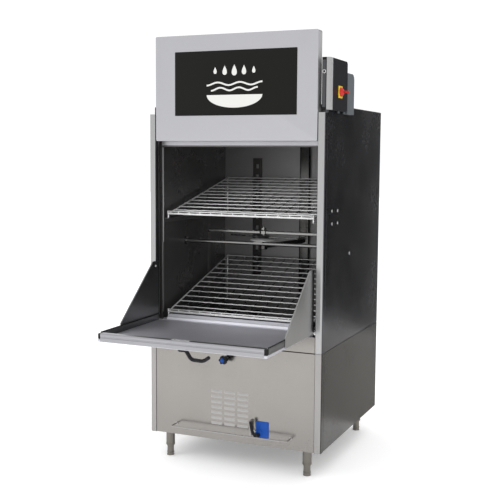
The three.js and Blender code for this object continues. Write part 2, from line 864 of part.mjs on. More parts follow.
function addChamber() {
  addPair("chamber_wall", chamberSide(), chamberSteel);
  const { half, back, floor } = CHAMBER;
  const rear = block(-half - SHEET, half + SHEET, back + GAP, back + GAP + SHEET, floor, CEILING);
  add("chamber_rear_wall", rear, chamberSteel);
  add("chamber_hood", chamberHood(), chamberSteel);
  add("wash_tank", washTank(), chamberSteel);
  add("tank_strainer", tankStrainer(), wireSteel);
  add("tank_heater", tankHeater(), darkSteel);
  addPair("rack_rails", rackRails(), chamberSteel);
  addPair("rear_upright", rearUpright(), darkSteel);
  add("riser_pipe", riserPipe(), wireSteel);
  add("arm_carrier", armCarrier(), wireSteel);
}

function addSprayArms() {
  add("upper_wash_arm", sprayArm(1656, WASH_ARM, -1), wireSteel);
  add("middle_rinse_arm", rinseArm(1154), wireSteel);
  add("middle_wash_arm", sprayArm(1174, WASH_ARM, 1), wireSteel);
  add("lower_wash_arm", sprayArm(705, WASH_ARM, 1), wireSteel);
}

function addRacks() {
  add("upper_rack", wireRack(UPPER_RACK), wireSteel);
  add("lower_rack", wireRack(LOWER_RACK), wireSteel);
}

function addDoors() {
  add("upper_door_shell", upperDoorShell(), brushedSteel);
  add("upper_door_liner", upperDoorLiner(), brushedSteel);
  add("door_placard", doorPlacard(), blackPanel);
  add("lower_door_shell", lowerDoorShell(), shelfSteel);
  add("lower_door_liner", lowerDoorLiner(), shelfSteel);
  addPair("gusset", gusset(), shelfSteel);
  addPair("hinge_pin", hingePin(), darkSteel);
  add("door_handle", doorHandle(), blackPlastic);
  add("counterweight", counterweight(), castIron);
}

function addMachinery() {
  add("drain_valve", drainValve(), darkSteel);
  add("drain_plate", drainPlate(), bluePlastic);
  add("drain_lever", drainLever(), blackPlastic);
  add("panel_knob", panelKnob(), blackPlastic);
  add("wash_pump", washPump(), castIron);
  add("boiler", boiler(), darkSteel);
}

function addControls() {
  add("control_box", controlBox(), blackPanel);
  add("control_corner", controlCorner(), brushedSteel);
  add("start_button", startButton(), greenPlastic);
  add("switch_plate", switchPlate(), yellowPlastic);
  add("main_switch", mainSwitch(), redPlastic);
  add("cable_duct", cableDuct(), greyPlastic);
}

addBase();
addHood();
addChamber();
addSprayArms();
addRacks();
addDoors();
addMachinery();
addControls();

// The part's origin is the middle of its footprint box, on the floor.
const extent = new THREE.Box3().setFromObject(machine);
const middle = extent.getCenter(new THREE.Vector3());
machine.position.set(-middle.x, -middle.y, -extent.min.z);

const washer = new THREE.Group();
washer.add(machine);

export default washer;
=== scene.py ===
"""The looks of a front-loading utensil washer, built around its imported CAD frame.

Shapes are worked out in millimetres in the machine's own frame: X to the right from the middle of the
front, Y to the back from the posts' front face, Z up from the floor. place() turns them into the row frame.
"""

import math

import bpy
import numpy as np
from mathutils import Matrix, Vector


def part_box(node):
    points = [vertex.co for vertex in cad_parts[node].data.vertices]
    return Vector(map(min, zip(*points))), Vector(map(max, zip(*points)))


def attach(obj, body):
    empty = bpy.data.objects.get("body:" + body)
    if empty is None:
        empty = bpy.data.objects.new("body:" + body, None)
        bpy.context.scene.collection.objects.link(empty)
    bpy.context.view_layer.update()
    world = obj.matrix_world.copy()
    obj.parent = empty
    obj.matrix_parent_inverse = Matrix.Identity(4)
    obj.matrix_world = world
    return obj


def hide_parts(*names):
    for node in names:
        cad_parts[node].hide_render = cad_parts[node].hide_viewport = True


bl_info = {
    "name": "Utensil Washer",
    "version": (1, 0, 0),
    "blender": (4, 5, 0),
    "location": "View3D > Sidebar > Washer",
    "description": "Builds the visible pieces of a front-loading utensil washer on its CAD frame",
    "category": "Object",
}

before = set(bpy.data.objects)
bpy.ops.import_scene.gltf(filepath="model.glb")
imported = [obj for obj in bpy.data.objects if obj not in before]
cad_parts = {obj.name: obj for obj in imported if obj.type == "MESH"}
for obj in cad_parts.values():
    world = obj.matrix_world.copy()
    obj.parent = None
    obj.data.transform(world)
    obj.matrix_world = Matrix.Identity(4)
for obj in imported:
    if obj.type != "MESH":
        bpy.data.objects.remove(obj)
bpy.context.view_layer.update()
MILLI = 0.001
LEFT_POST, RIGHT_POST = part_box("left_post"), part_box("right_post")
ORIGIN = np.array([(LEFT_POST[0].x + RIGHT_POST[1].x) / 2, LEFT_POST[0].y, 0.0]) / MILLI
CABINET = "cabinet"
AXES = {"x": (1, 2, 0), "y": (0, 2, 1), "z": (0, 1, 2)}


# ---- places ----
def place(points):
    """Millimetres in the machine's own frame, as metres in the row frame: (p + origin) / 1000."""
    return (np.asarray(points, float) + ORIGIN) * MILLI


def span(node):
    """The box of a CAD node in the machine's own frame: x0, x1, y0, y1, z0, z1 in millimetres."""
    low, high = (np.array(corner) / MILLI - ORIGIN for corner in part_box(node))
    return np.stack([low, high], -1).ravel()


# ---- curves ----
def arc(centre, radius, start, end, steps=8):
    """Points on a circle: centre + radius (cos a, sin a), with a going evenly from start to end, in
    degrees."""
    angle = np.radians(np.linspace(start, end, steps + 1))
    return np.asarray(centre, float) + radius * np.stack([np.cos(angle), np.sin(angle)], -1)


def rounded_path(points, radius, steps=6):
    """Straight runs with each inner corner C made a curve (1-t)^2 A + 2t(1-t) C + t^2 B, where A and B
    lie one radius before and after the corner."""
    points = np.asarray(points, float)
    before, corner, after = points[:-2], points[1:-1], points[2:]
    back = before - corner
    onward = after - corner
    a = corner + radius * back / np.linalg.norm(back, axis=1)[:, None]
    b = corner + radius * onward / np.linalg.norm(onward, axis=1)[:, None]
    t = np.linspace(0, 1, steps + 1)[None, :, None]
    bends = (1 - t) ** 2 * a[:, None] + 2 * t * (1 - t) * corner[:, None] + t**2 * b[:, None]
    return np.concatenate([points[:1], bends.reshape(-1, points.shape[1]), points[-1:]])


def folded_sheet(path, thickness):
    """Outline of a bent sheet: along the path, then back one thickness to its left. A corner between the
    unit normals m and n moves by thickness (m + n) / (1 + m.n)."""
    path = np.asarray(path, float)
    step = np.diff(path, axis=0)
    step /= np.linalg.norm(step, axis=1)[:, None]
    normal = np.stack([-step[:, 1], step[:, 0]], -1)
    first = np.vstack([normal[:1], normal])
    second = np.vstack([normal, normal[-1:]])
    mitre = (first + second) / (1 + (first * second).sum(1))[:, None]
    return np.vstack([path, (path + thickness * mitre)[::-1]])


# ---- solids ----
class Form:
    """Closed skins collected in millimetres, to become one piece."""

    def __init__(self):
        self.points = []
        self.faces = []
        self.count = 0

    def shell(self, rings):
        """The skin of a stack of closed rings, an array (rings, around, 3), with a flat cap at each end.
        Quad (i, j) joins points (i, j), (i, j+1), (i+1, j+1) and (i+1, j). The sign of the volume
        enclosed, the sum of a.(b x c) / 6 over all triangles, says whether to turn it outwards."""
        rings = np.asarray(rings, float)
        stack, around, _ = rings.shape
        index = np.arange(stack * around).reshape(stack, around)
        low, high = index[:-1], index[1:]
        quads = np.stack([low, np.roll(low, -1, 1), np.roll(high, -1, 1), high], -1).reshape(-1, 4)
        points = rings.reshape(-1, 3)
        faces = [index[0][::-1], index[-1]]
        triangles = [quads[:, [0, 1, 2]], quads[:, [0, 2, 3]]]
        for cap in faces:
            first = np.full(around - 2, cap[0])
            triangles.append(np.stack([first, cap[1:-1], cap[2:]], -1))
        a, b, c = points[np.concatenate(triangles)].transpose(1, 0, 2)
        turn = -1 if (a * np.cross(b, c)).sum() < 0 else 1
        self.faces += (quads[:, ::turn] + self.count).tolist()
        self.faces += [(cap[::turn] + self.count).tolist() for cap in faces]
        self.points.append(points)
        self.count += len(points)
        return self

    def stack(self, rows, thin="z", steps=5):
        """Rounded rectangles stacked along one axis. A row is (u0, u1, v0, v1, radius, w): four quarter
        circles about the corners of the rectangle inset by the radius, at height w."""
        quarter = np.linspace(0, np.pi / 2, steps + 1)
        angle = (np.arange(4)[:, None] * np.pi / 2 + quarter).ravel()
        at_right = np.repeat([True, False, False, True], steps + 1)
        at_back = np.repeat([True, True, False, False], steps + 1)
        u0, u1, v0, v1, radius, w = np.asarray(rows, float).T[:, :, None]
        u = np.where(at_right, u1 - radius, u0 + radius) + radius * np.cos(angle)
        v = np.where(at_back, v1 - radius, v0 + radius) + radius * np.sin(angle)
        rings = np.empty(u.shape + (3,))
        for axis, values in zip(AXES[thin], (u, v, w + 0 * u)):
            rings[..., axis] = values
        return self.shell(rings)

    def block(self, x0, x1, y0, y1, z0, z1, corner=1.0, edge=0.8, thin="z", steps=3):
        """A slab with rounded corners and edges: at angle t from 0 to 90 degrees of the edge's quarter
        circle it is inset by edge (1 - sin t), at height edge (1 - cos t) from its face."""
        spans = ((x0, x1), (y0, y1), (z0, z1))
        (u0, u1), (v0, v1), (w0, w1) = (spans[axis] for axis in AXES[thin])
        t = np.linspace(0, np.pi / 2, steps + 1)
        inset = edge * (1 - np.sin(t))
        rise = edge * (1 - np.cos(t))
        inset = np.concatenate([inset, inset[::-1]])
        w = np.concatenate([w0 + rise, (w1 - rise)[::-1]])
        radius = np.maximum(corner - inset, 0.05)
        rows = np.stack([u0 + inset, u1 - inset, v0 + inset, v1 - inset, radius, w], -1)
        return self.stack(rows, thin)

    def tube(self, path, radius, sides=12, side=(0, 0, 1), fillet=0.8, flat=1.0):
        """A round bar carried along a path in the plane square to `side`: each ring is
        p + r (cos a side x tangent + flat sin a side), and the ends narrow by the fillet."""
        path = np.asarray(path, float)
        start, end = path[1] - path[0], path[-1] - path[-2]
        start = path[0] + fillet * start / np.linalg.norm(start)
        end = path[-1] - fillet * end / np.linalg.norm(end)
        path = np.vstack([path[:1], start, path[1:-1], end, path[-1:]])
        radii = np.full(len(path), float(radius))
        radii[[0, -1]] -= fillet
        tangent = np.gradient(path, axis=0)
        tangent /= np.linalg.norm(tangent, axis=1)[:, None]
        across = np.cross(side, tangent)
        across /= np.linalg.norm(across, axis=1)[:, None]
        up = np.cross(tangent, across)
        angle = np.linspace(0, 2 * np.pi, sides, endpoint=False)[None, :, None]
        ring = np.cos(angle) * across[:, None] + flat * np.sin(angle) * up[:, None]
        return self.shell(path[:, None] + radii[:, None, None] * ring)

    def turned(self, profile, centre, axis="z", sides=32):
        """A body of revolution: a profile of (radius, height) pairs turned about the axis through centre."""
        radius, height = np.asarray(profile, float).T[:, :, None]
        angle = np.linspace(0, 2 * np.pi, sides, endpoint=False)[None, :]
        rings = np.empty((len(radius), sides, 3))
        values = (radius * np.cos(angle), radius * np.sin(angle), height + 0 * angle)
        for number, value in zip(AXES[axis], values):
            rings[..., number] = value + centre[number]
        return self.shell(rings)

    def prism(self, outline, start, end, axis="x"):
        """An outline in the two other axes, carried straight along one axis from start to end."""
        outline = np.asarray(outline, float)
        rings = np.empty((2, len(outline), 3))
        rings[..., AXES[axis][0]] = outline[:, 0]
        rings[..., AXES[axis][1]] = outline[:, 1]
        rings[..., AXES[axis][2]] = np.array([[start], [end]])
        return self.shell(rings)

    def screw(self, centre, axis, outwards, radius=5.0, height=2.4):
        """A domed screw head with a round drive: a quarter ellipse turned about its axis, dished in."""
        t = np.linspace(0, np.pi / 2, 5)
        dome = np.stack([radius * np.cos(t[:-1]), outwards * height * np.sin(t[:-1])], -1)
        drive = outwards * height * np.array([1.0, 0.45])
        rows = np.vstack([dome, [[radius * 0.36, drive[0]], [radius * 0.3, drive[1]]]])
        return self.turned(rows, centre, axis, 16)

    def mirrored(self):
        """Adds the mirror image in X of every skin so far, with its faces turned round to point out."""
        points = np.concatenate(self.points) * [-1, 1, 1]
        self.faces += [[corner + self.count for corner in face[::-1]] for face in self.faces]
        self.points.append(points)
        self.count += len(points)
        return self


def piece(name, form, look, body=CABINET, stands_for=(), bevel=0.0, smooth=38):
    """Makes a form one object with a finish, a body to ride on and the CAD nodes it stands for."""
    mesh = bpy.data.meshes.new(name)
    mesh.from_pydata(place(np.concatenate(form.points)), [], form.faces)
    mesh.polygons.foreach_set("use_smooth", np.ones(len(mesh.polygons), bool))
    mesh.set_sharp_from_angle(angle=math.radians(smooth))
    mesh.validate()
    made = bpy.data.objects.new(name, mesh)
    bpy.context.scene.collection.objects.link(made)
    made.data.materials.append(finish(look))
    if bevel:
        round_edges(made, bevel)
    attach(made, body)
    if stands_for:
        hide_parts(*stands_for)
    return made


def round_edges(thing, width, segments=2):
    """A bevel of so many millimetres on edges sharper than 35 degrees, with normals weighted by area."""
    bevel = thing.modifiers.new("Rounded edges", "BEVEL")
    bevel.width = width * MILLI
    bevel.segments = segments
    bevel.limit_method = "ANGLE"
    bevel.angle_limit = math.radians(35)
    bevel.use_clamp_overlap = True
    weighted = thing.modifiers.new("Weighted normals", "WEIGHTED_NORMAL")
    weighted.keep_sharp = False


def dress(node, look, bevel=0.6):
    """Gives a CAD node whose shape is right its finish and rounded edges."""
    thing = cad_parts[node]
    thing.data.materials.clear()
    thing.data.materials.append(finish(look))
    if bevel:
        weld = thing.modifiers.new("Joined corners", "WELD")
        weld.merge_threshold = 0.02 * MILLI
        round_edges(thing, bevel)
    return thing


# ---- finishes ----
def new_group(name, inputs, outputs):
    """An empty shader node group with float, vector or colour sockets, and its input and output nodes."""
    group = bpy.data.node_groups.new(name, "ShaderNodeTree")
    for label, kind, default in inputs:
        socket = group.interface.new_socket(name=label, in_out="INPUT", socket_type=kind)
        socket.default_value = default
    for label, kind in outputs:
        group.interface.new_socket(name=label, in_out="OUTPUT", socket_type=kind)
    return group, group.nodes.new("NodeGroupInput"), group.nodes.new("NodeGroupOutput")


def maths(tree, operation, first, second=0.5, clamp=False):
    """A Math node fed by sockets or numbers; returns its output."""
    node = tree.nodes.new("ShaderNodeMath")
    node.operation = operation
    node.use_clamp = clamp
    for socket, value in zip(node.inputs, (first, second)):
        if isinstance(value, (int, float)):
            socket.default_value = value
        else:
            tree.links.new(value, socket)
    return node.outputs[0]


def noise(tree, vector, scale, detail=3.0, roughness=0.5):
    """A noise texture on a vector; returns its value."""
    node = tree.nodes.new("ShaderNodeTexNoise")
    node.inputs["Detail"].default_value = detail
    node.inputs["Roughness"].default_value = roughness
    if isinstance(scale, (int, float)):
        node.inputs["Scale"].default_value = scale
    else:
        tree.links.new(scale, node.inputs["Scale"])
    tree.links.new(vector, node.inputs["Vector"])
    return node.outputs[0]


def grain_group():
    """Brushing: noise stretched along one direction, as a value from 0 to 1."""
    group, given, made = new_group(
        "Brushed Grain",
        [("Vector", "NodeSocketVector", (0, 0, 0)), ("Stretch", "NodeSocketVector", (1, 1, 1))],
        [("Grain", "NodeSocketFloat")],
    )
    scaled = group.nodes.new("ShaderNodeVectorMath")
    scaled.operation = "MULTIPLY"
    group.links.new(given.outputs["Vector"], scaled.inputs[0])
    group.links.new(given.outputs["Stretch"], scaled.inputs[1])
    fine = noise(group, scaled.outputs[0], 1.0, 4.0, 0.65)
    group.links.new(fine, made.inputs["Grain"])
    return group


def marks_group():
    """Handling marks: soft uneven patches, from large noise broken by small noise."""
    group, given, made = new_group(
        "Handling Marks",
        [("Vector", "NodeSocketVector", (0, 0, 0)), ("Scale", "NodeSocketFloat", 4.0),
         ("Amount", "NodeSocketFloat", 0.5)],
        [("Mask", "NodeSocketFloat")],
    )
    broad = noise(group, given.outputs["Vector"], given.outputs["Scale"], 2.0)
    small = noise(group, given.outputs["Vector"], 60.0, 3.0)
    mixed = maths(group, "ADD", broad, maths(group, "MULTIPLY", small, 0.25))
    patch = maths(group, "MULTIPLY", maths(group, "SUBTRACT", mixed, 0.5), 2.6, clamp=True)
    group.links.new(maths(group, "MULTIPLY", patch, given.outputs["Amount"]), made.inputs["Mask"])
    return group


def wear_group():
    """Edge wear: where a rounded normal turns away from the true one, broken up by noise."""
    group, given, made = new_group(
        "Worn Edges",
        [("Vector", "NodeSocketVector", (0, 0, 0)), ("Amount", "NodeSocketFloat", 0.5)],
        [("Mask", "NodeSocketFloat")],
    )
    geometry = group.nodes.new("ShaderNodeNewGeometry")
    rounded = group.nodes.new("ShaderNodeBevel")
    rounded.samples = 4
    rounded.inputs["Radius"].default_value = 0.0012
    facing = group.nodes.new("ShaderNodeVectorMath")
    facing.operation = "DOT_PRODUCT"
    group.links.new(geometry.outputs["Normal"], facing.inputs[0])
    group.links.new(rounded.outputs["Normal"], facing.inputs[1])
    sharp = maths(group, "MULTIPLY", maths(group, "SUBTRACT", 1.0, facing.outputs["Value"]), 6.0, clamp=True)
    broken = noise(group, given.outputs["Vector"], 90.0, 4.0)
    worn = maths(group, "MULTIPLY", sharp, maths(group, "ADD", broken, 0.3))
    group.links.new(maths(group, "MULTIPLY", worn, given.outputs["Amount"], clamp=True), made.inputs["Mask"])
    return group


def dust_group():
    """Settled dust: more on faces that look up, thinned by noise."""
    group, given, made = new_group(
        "Settled Dust",
        [("Vector", "NodeSocketVector", (0, 0, 0)), ("Amount", "NodeSocketFloat", 0.2)],
        [("Mask", "NodeSocketFloat")],
    )
    geometry = group.nodes.new("ShaderNodeNewGeometry")
    split = group.nodes.new("ShaderNodeSeparateXYZ")
    group.links.new(geometry.outputs["Normal"], split.inputs[0])
    upward = maths(group, "MULTIPLY", maths(group, "SUBTRACT", split.outputs["Z"], 0.4), 1.6, clamp=True)
    patchy = noise(group, given.outputs["Vector"], 14.0, 5.0, 0.7)
    patchy = maths(group, "MULTIPLY", patchy, patchy)
    mask = maths(group, "MULTIPLY", maths(group, "MULTIPLY", upward, patchy), given.outputs["Amount"])
    group.links.new(mask, made.inputs["Mask"])
    return group


GROUP_MAKERS = {
    "Brushed Grain": grain_group,
    "Handling Marks": marks_group,
    "Worn Edges": wear_group,
    "Settled Dust": dust_group,
}
ALONG_X, ALONG_Y, ALONG_Z = (6, 900, 900), (900, 6, 900), (900, 900, 6)
SPECKLED = (700, 700, 700)

# look: (colour property, metallic, roughness, brushing direction, brushing depth, marks, wear, dust)
LOOKS = {
    "door_steel": ("door_steel", 1.0, 0.36, ALONG_X, 0.05, 0.35, 0.35, 0.10),
    "post_steel": ("post_steel", 1.0, 0.33, ALONG_Z, 0.05, 0.30, 0.40, 0.10),
    # painted highlight: the louvres are the panel's own steel, coloured paler for the light they catch
    "louvre_steel": ("louvre_steel", 0.7, 0.40, ALONG_X, 0.03, 0.30, 0.30, 0.10),
    "base_post_steel": ("base_post_steel", 1.0, 0.30, ALONG_Z, 0.05, 0.30, 0.40, 0.10),
    "edge_steel": ("edge_steel", 0.2, 0.50, ALONG_Z, 0.05, 0.30, 0.20, 0.05),
    "panel_steel": ("panel_steel", 1.0, 0.20, ALONG_X, 0.03, 0.60, 0.30, 0.10),
    # painted reflection: the hood's steel sides coloured near black to stand for the dark surroundings they
    # mirror
    "hood_side_steel": ("hood_side_steel", 1.0, 0.22, ALONG_Z, 0.03, 0.45, 0.20, 0.10),
    # painted reflection: the base's steel sides coloured very dark to stand for the dull surroundings they
    # mirror
    "base_side_steel": ("base_side_steel", 1.0, 0.24, ALONG_Z, 0.03, 0.50, 0.20, 0.10),
    "back_steel": ("post_steel", 1.0, 0.36, ALONG_Z, 0.05, 0.40, 0.30, 0.15),
    "roof_steel": ("post_steel", 1.0, 0.38, ALONG_X, 0.05, 0.30, 0.30, 0.50),
    # painted shade: the chamber's steel walls coloured dark for the shade and dark reflections inside the
    # chamber
    "chamber_steel": ("chamber_steel", 0.75, 0.26, ALONG_Z, 0.03, 0.70, 0.20, 0.05),
    # painted shade: the chamber's back, strainer and rails coloured dark for the shade and dark reflections at
    # the back
    "chamber_back_steel": ("chamber_back_steel", 0.8, 0.40, ALONG_Z, 0.04, 0.60, 0.20, 0.05),
    "shelf_steel": ("shelf_steel", 0.8, 0.36, ALONG_X, 0.05, 0.60, 0.40, 0.05),
    "gusset_steel": ("gusset_steel", 1.0, 0.30, ALONG_Z, 0.04, 0.50, 0.40, 0.05),
    "shaded_plate": ("shaded_plate", 1.0, 0.30, ALONG_Z, 0.04, 0.50, 0.40, 0.05),
    "rail_steel": ("rail_steel", 1.0, 0.24, ALONG_X, 0.03, 0.40, 0.30, 0.05),
    "lip_steel": ("lip_steel", 1.0, 0.28, ALONG_X, 0.05, 0.50, 0.50, 0.05),
    # painted reflection: the rims are the shelf's steel, coloured dark for the dark side plates their inner
    # faces mirror
    "rim_steel": ("rim_steel", 1.0, 0.28, ALONG_Y, 0.04, 0.50, 0.40, 0.05),
    "ramp_steel": ("ramp_steel", 0.6, 0.34, ALONG_X, 0.04, 0.50, 0.30, 0.05),
    "upright_steel": ("upright_steel", 1.0, 0.26, ALONG_Z, 0.04, 0.50, 0.30, 0.05),
    "pipe_steel": ("pipe_steel", 1.0, 0.22, ALONG_Z, 0.03, 0.50, 0.20, 0.05),
    "arm_steel": ("arm_steel", 1.0, 0.22, ALONG_X, 0.03, 0.50, 0.40, 0.05),
    "disc_steel": ("disc_steel", 0.4, 0.34, SPECKLED, 0.03, 0.30, 0.50, 0.05),
    "key_film": ("key_film", 0.0, 0.45, SPECKLED, 0.04, 0.30, 0.20, 0.05),
    "wire_steel": ("wire_steel", 0.6, 0.26, SPECKLED, 0.02, 0.30, 0.20, 0.05),
    "leg_steel": ("dark_steel", 1.0, 0.34, ALONG_Z, 0.05, 0.50, 0.30, 0.20),
    "dark_steel": ("dark_steel", 1.0, 0.38, ALONG_X, 0.05, 0.50, 0.30, 0.30),
    "black_plastic": ("black_plastic", 0.0, 0.42, SPECKLED, 0.12, 0.35, 0.25, 0.20),
    "black_panel": ("black_panel", 0.0, 0.45, SPECKLED, 0.04, 0.35, 0.20, 0.15),
    "box_side": ("box_side", 0.0, 0.34, ALONG_Z, 0.04, 0.35, 0.30, 0.20),
    "rubber": ("rubber", 0.0, 0.70, SPECKLED, 0.20, 0.40, 0.10, 0.25),
    "grey_plastic": ("grey_plastic", 0.0, 0.48, SPECKLED, 0.12, 0.30, 0.20, 0.25),
    "pale_print": ("pale_print", 0.0, 0.50, SPECKLED, 0.04, 0.30, 0.10, 0.05),
    "yellow_plastic": ("yellow_plastic", 0.0, 0.38, SPECKLED, 0.08, 0.30, 0.15, 0.10),
    "red_plastic": ("red_plastic", 0.0, 0.34, SPECKLED, 0.08, 0.30, 0.15, 0.10),
    "blue_plastic": ("blue_plastic", 0.0, 0.36, SPECKLED, 0.08, 0.35, 0.15, 0.10),
    "cast_iron": ("cast_iron", 0.3, 0.60, SPECKLED, 0.35, 0.50, 0.30, 0.40),
    "card": ("card", 0.0, 0.85, SPECKLED, 0.0, 0.0, 0.0, 0.0),
    "floor": ("floor", 0.0, 0.85, SPECKLED, 0.05, 0.20, 0.0, 0.0),
}


# how strongly the non-metals mirror their surroundings, where that isn't the usual half
SHEEN = {"black_panel": 0.08, "black_plastic": 0.18, "box_side": 0.12, "rubber": 0.08, "grey_plastic": 0.3,
         "blue_plastic": 0.2, "red_plastic": 0.3, "yellow_plastic": 0.3}


def finish(look):
    """The material of a look, made once: its colour with marks, worn edges and dust, brushed in relief."""
    name = f"{look}_finish"
    made = bpy.data.materials.get(name)
    if made:
        return made
    colour_name, metallic, roughness, stretch, depth, marks, wear, dust = LOOKS[look]
    colour = tuple(getattr(bpy.context.scene.washer_colours, colour_name)) + (1.0,)
    made = bpy.data.materials.new(name)
    made.use_nodes = True
    made.diffuse_color = colour
    tree = made.node_tree
    shader = tree.nodes["Principled BSDF"]
    shader.inputs["Metallic"].default_value = metallic
    shader.inputs["Specular IOR Level"].default_value = SHEEN.get(look, 0.5)
    if look == "floor":
        shader.inputs["Emission Color"].default_value = colour
        shader.inputs["Emission Strength"].default_value = 0.25
    where = tree.nodes.new("ShaderNodeTexCoord").outputs["Object"]

    def group(name, **values):
        node = tree.nodes.new("ShaderNodeGroup")
        node.node_tree = bpy.data.node_groups.get(name) or GROUP_MAKERS[name]()
        tree.links.new(where, node.inputs["Vector"])
        for label, value in values.items():
            node.inputs[label].default_value = value
        return node.outputs[0]

    grain = group("Brushed Grain", Stretch=stretch)
    mark = group("Handling Marks", Scale=3.5, Amount=marks)
    worn = group("Worn Edges", Amount=wear)
    dusty = group("Settled Dust", Amount=dust)

    def blend(mask, first, second):
        node = tree.nodes.new("ShaderNodeMix")
        node.data_type = "RGBA"
        tree.links.new(mask, node.inputs["Factor"])
        for socket, value in ((node.inputs["A"], first), (node.inputs["B"], second)):
            if isinstance(value, tuple):
                socket.default_value = value
            else:
                tree.links.new(value, socket)
        return node.outputs["Result"]

    darker = tuple(0.80 * part for part in colour[:3]) + (1.0,)
    lighter = tuple(min(1.0, 1.35 * part + 0.02) for part in colour[:3]) + (1.0,)
    grained = tuple(0.90 * part for part in colour[:3]) + (1.0,)
    base = blend(maths(tree, "MULTIPLY", grain, 0.6), colour, grained)
    base = blend(maths(tree, "MULTIPLY", mark, 0.55), base, darker)
    base = blend(worn, base, lighter)
    base = blend(dusty, base, (0.42, 0.40, 0.37, 1.0))
    tree.links.new(base, shader.inputs["Base Color"])
    rough = maths(tree, "ADD", maths(tree, "MULTIPLY", grain, 0.08), roughness - 0.04)
    rough = maths(tree, "ADD", rough, maths(tree, "MULTIPLY", mark, 0.16))
    rough = maths(tree, "ADD", rough, maths(tree, "MULTIPLY", dusty, 0.5), clamp=True)
    tree.links.new(rough, shader.inputs["Roughness"])
    relief = tree.nodes.new("ShaderNodeBump")
    relief.inputs["Strength"].default_value = depth
    relief.inputs["Distance"].default_value = 0.0006
    tree.links.new(grain, relief.inputs["Height"])
    tree.links.new(relief.outputs["Normal"], shader.inputs["Normal"])
    return made


# ---- what a user may change ----
def length(label, note, default, low=0.0, high=1.0):
    """A length property in metres."""
    return bpy.props.FloatProperty(
        name=label, description=note, default=default, min=low, max=high, unit="LENGTH", precision=4
    )


def colour(label, note, default):
    """A colour property."""
    return bpy.props.FloatVectorProperty(
        name=label, description=note, default=default, subtype="COLOR", size=3, min=0.0, max=1.0
    )


class WasherSizes(bpy.types.PropertyGroup):
    """Sizes of the details that the CAD frame leaves open."""

    sheet_edge: length("Sheet edge", "Rounding of the bent sheet edges", 0.0008)
    joint_gap: length("Joint gap", "Width of the joint between base and hood on the posts", 0.0016)
    louvre_depth: length("Louvre depth", "How far the pressed louvres stand out", 0.0030)
    wires_along: bpy.props.IntProperty(
        name="Wires along", description="Rack wires that run to the back", default=14, min=4, max=40
    )
    wires_across: bpy.props.IntProperty(
        name="Wires across", description="Rack wires that run across", default=13, min=4, max=40
    )
    wire_diameter: length("Wire diameter", "Diameter of the rack's wires", 0.0064)
    rail_diameter: length("Rail diameter", "Diameter of the base panel's pull rail", 0.0072)
    screw_diameter: length("Screw head", "Diameter of a sheet screw's head", 0.0095)
    gasket_height: length("Gasket height", "Height of the rubber on the lower door's rims", 0.0035)


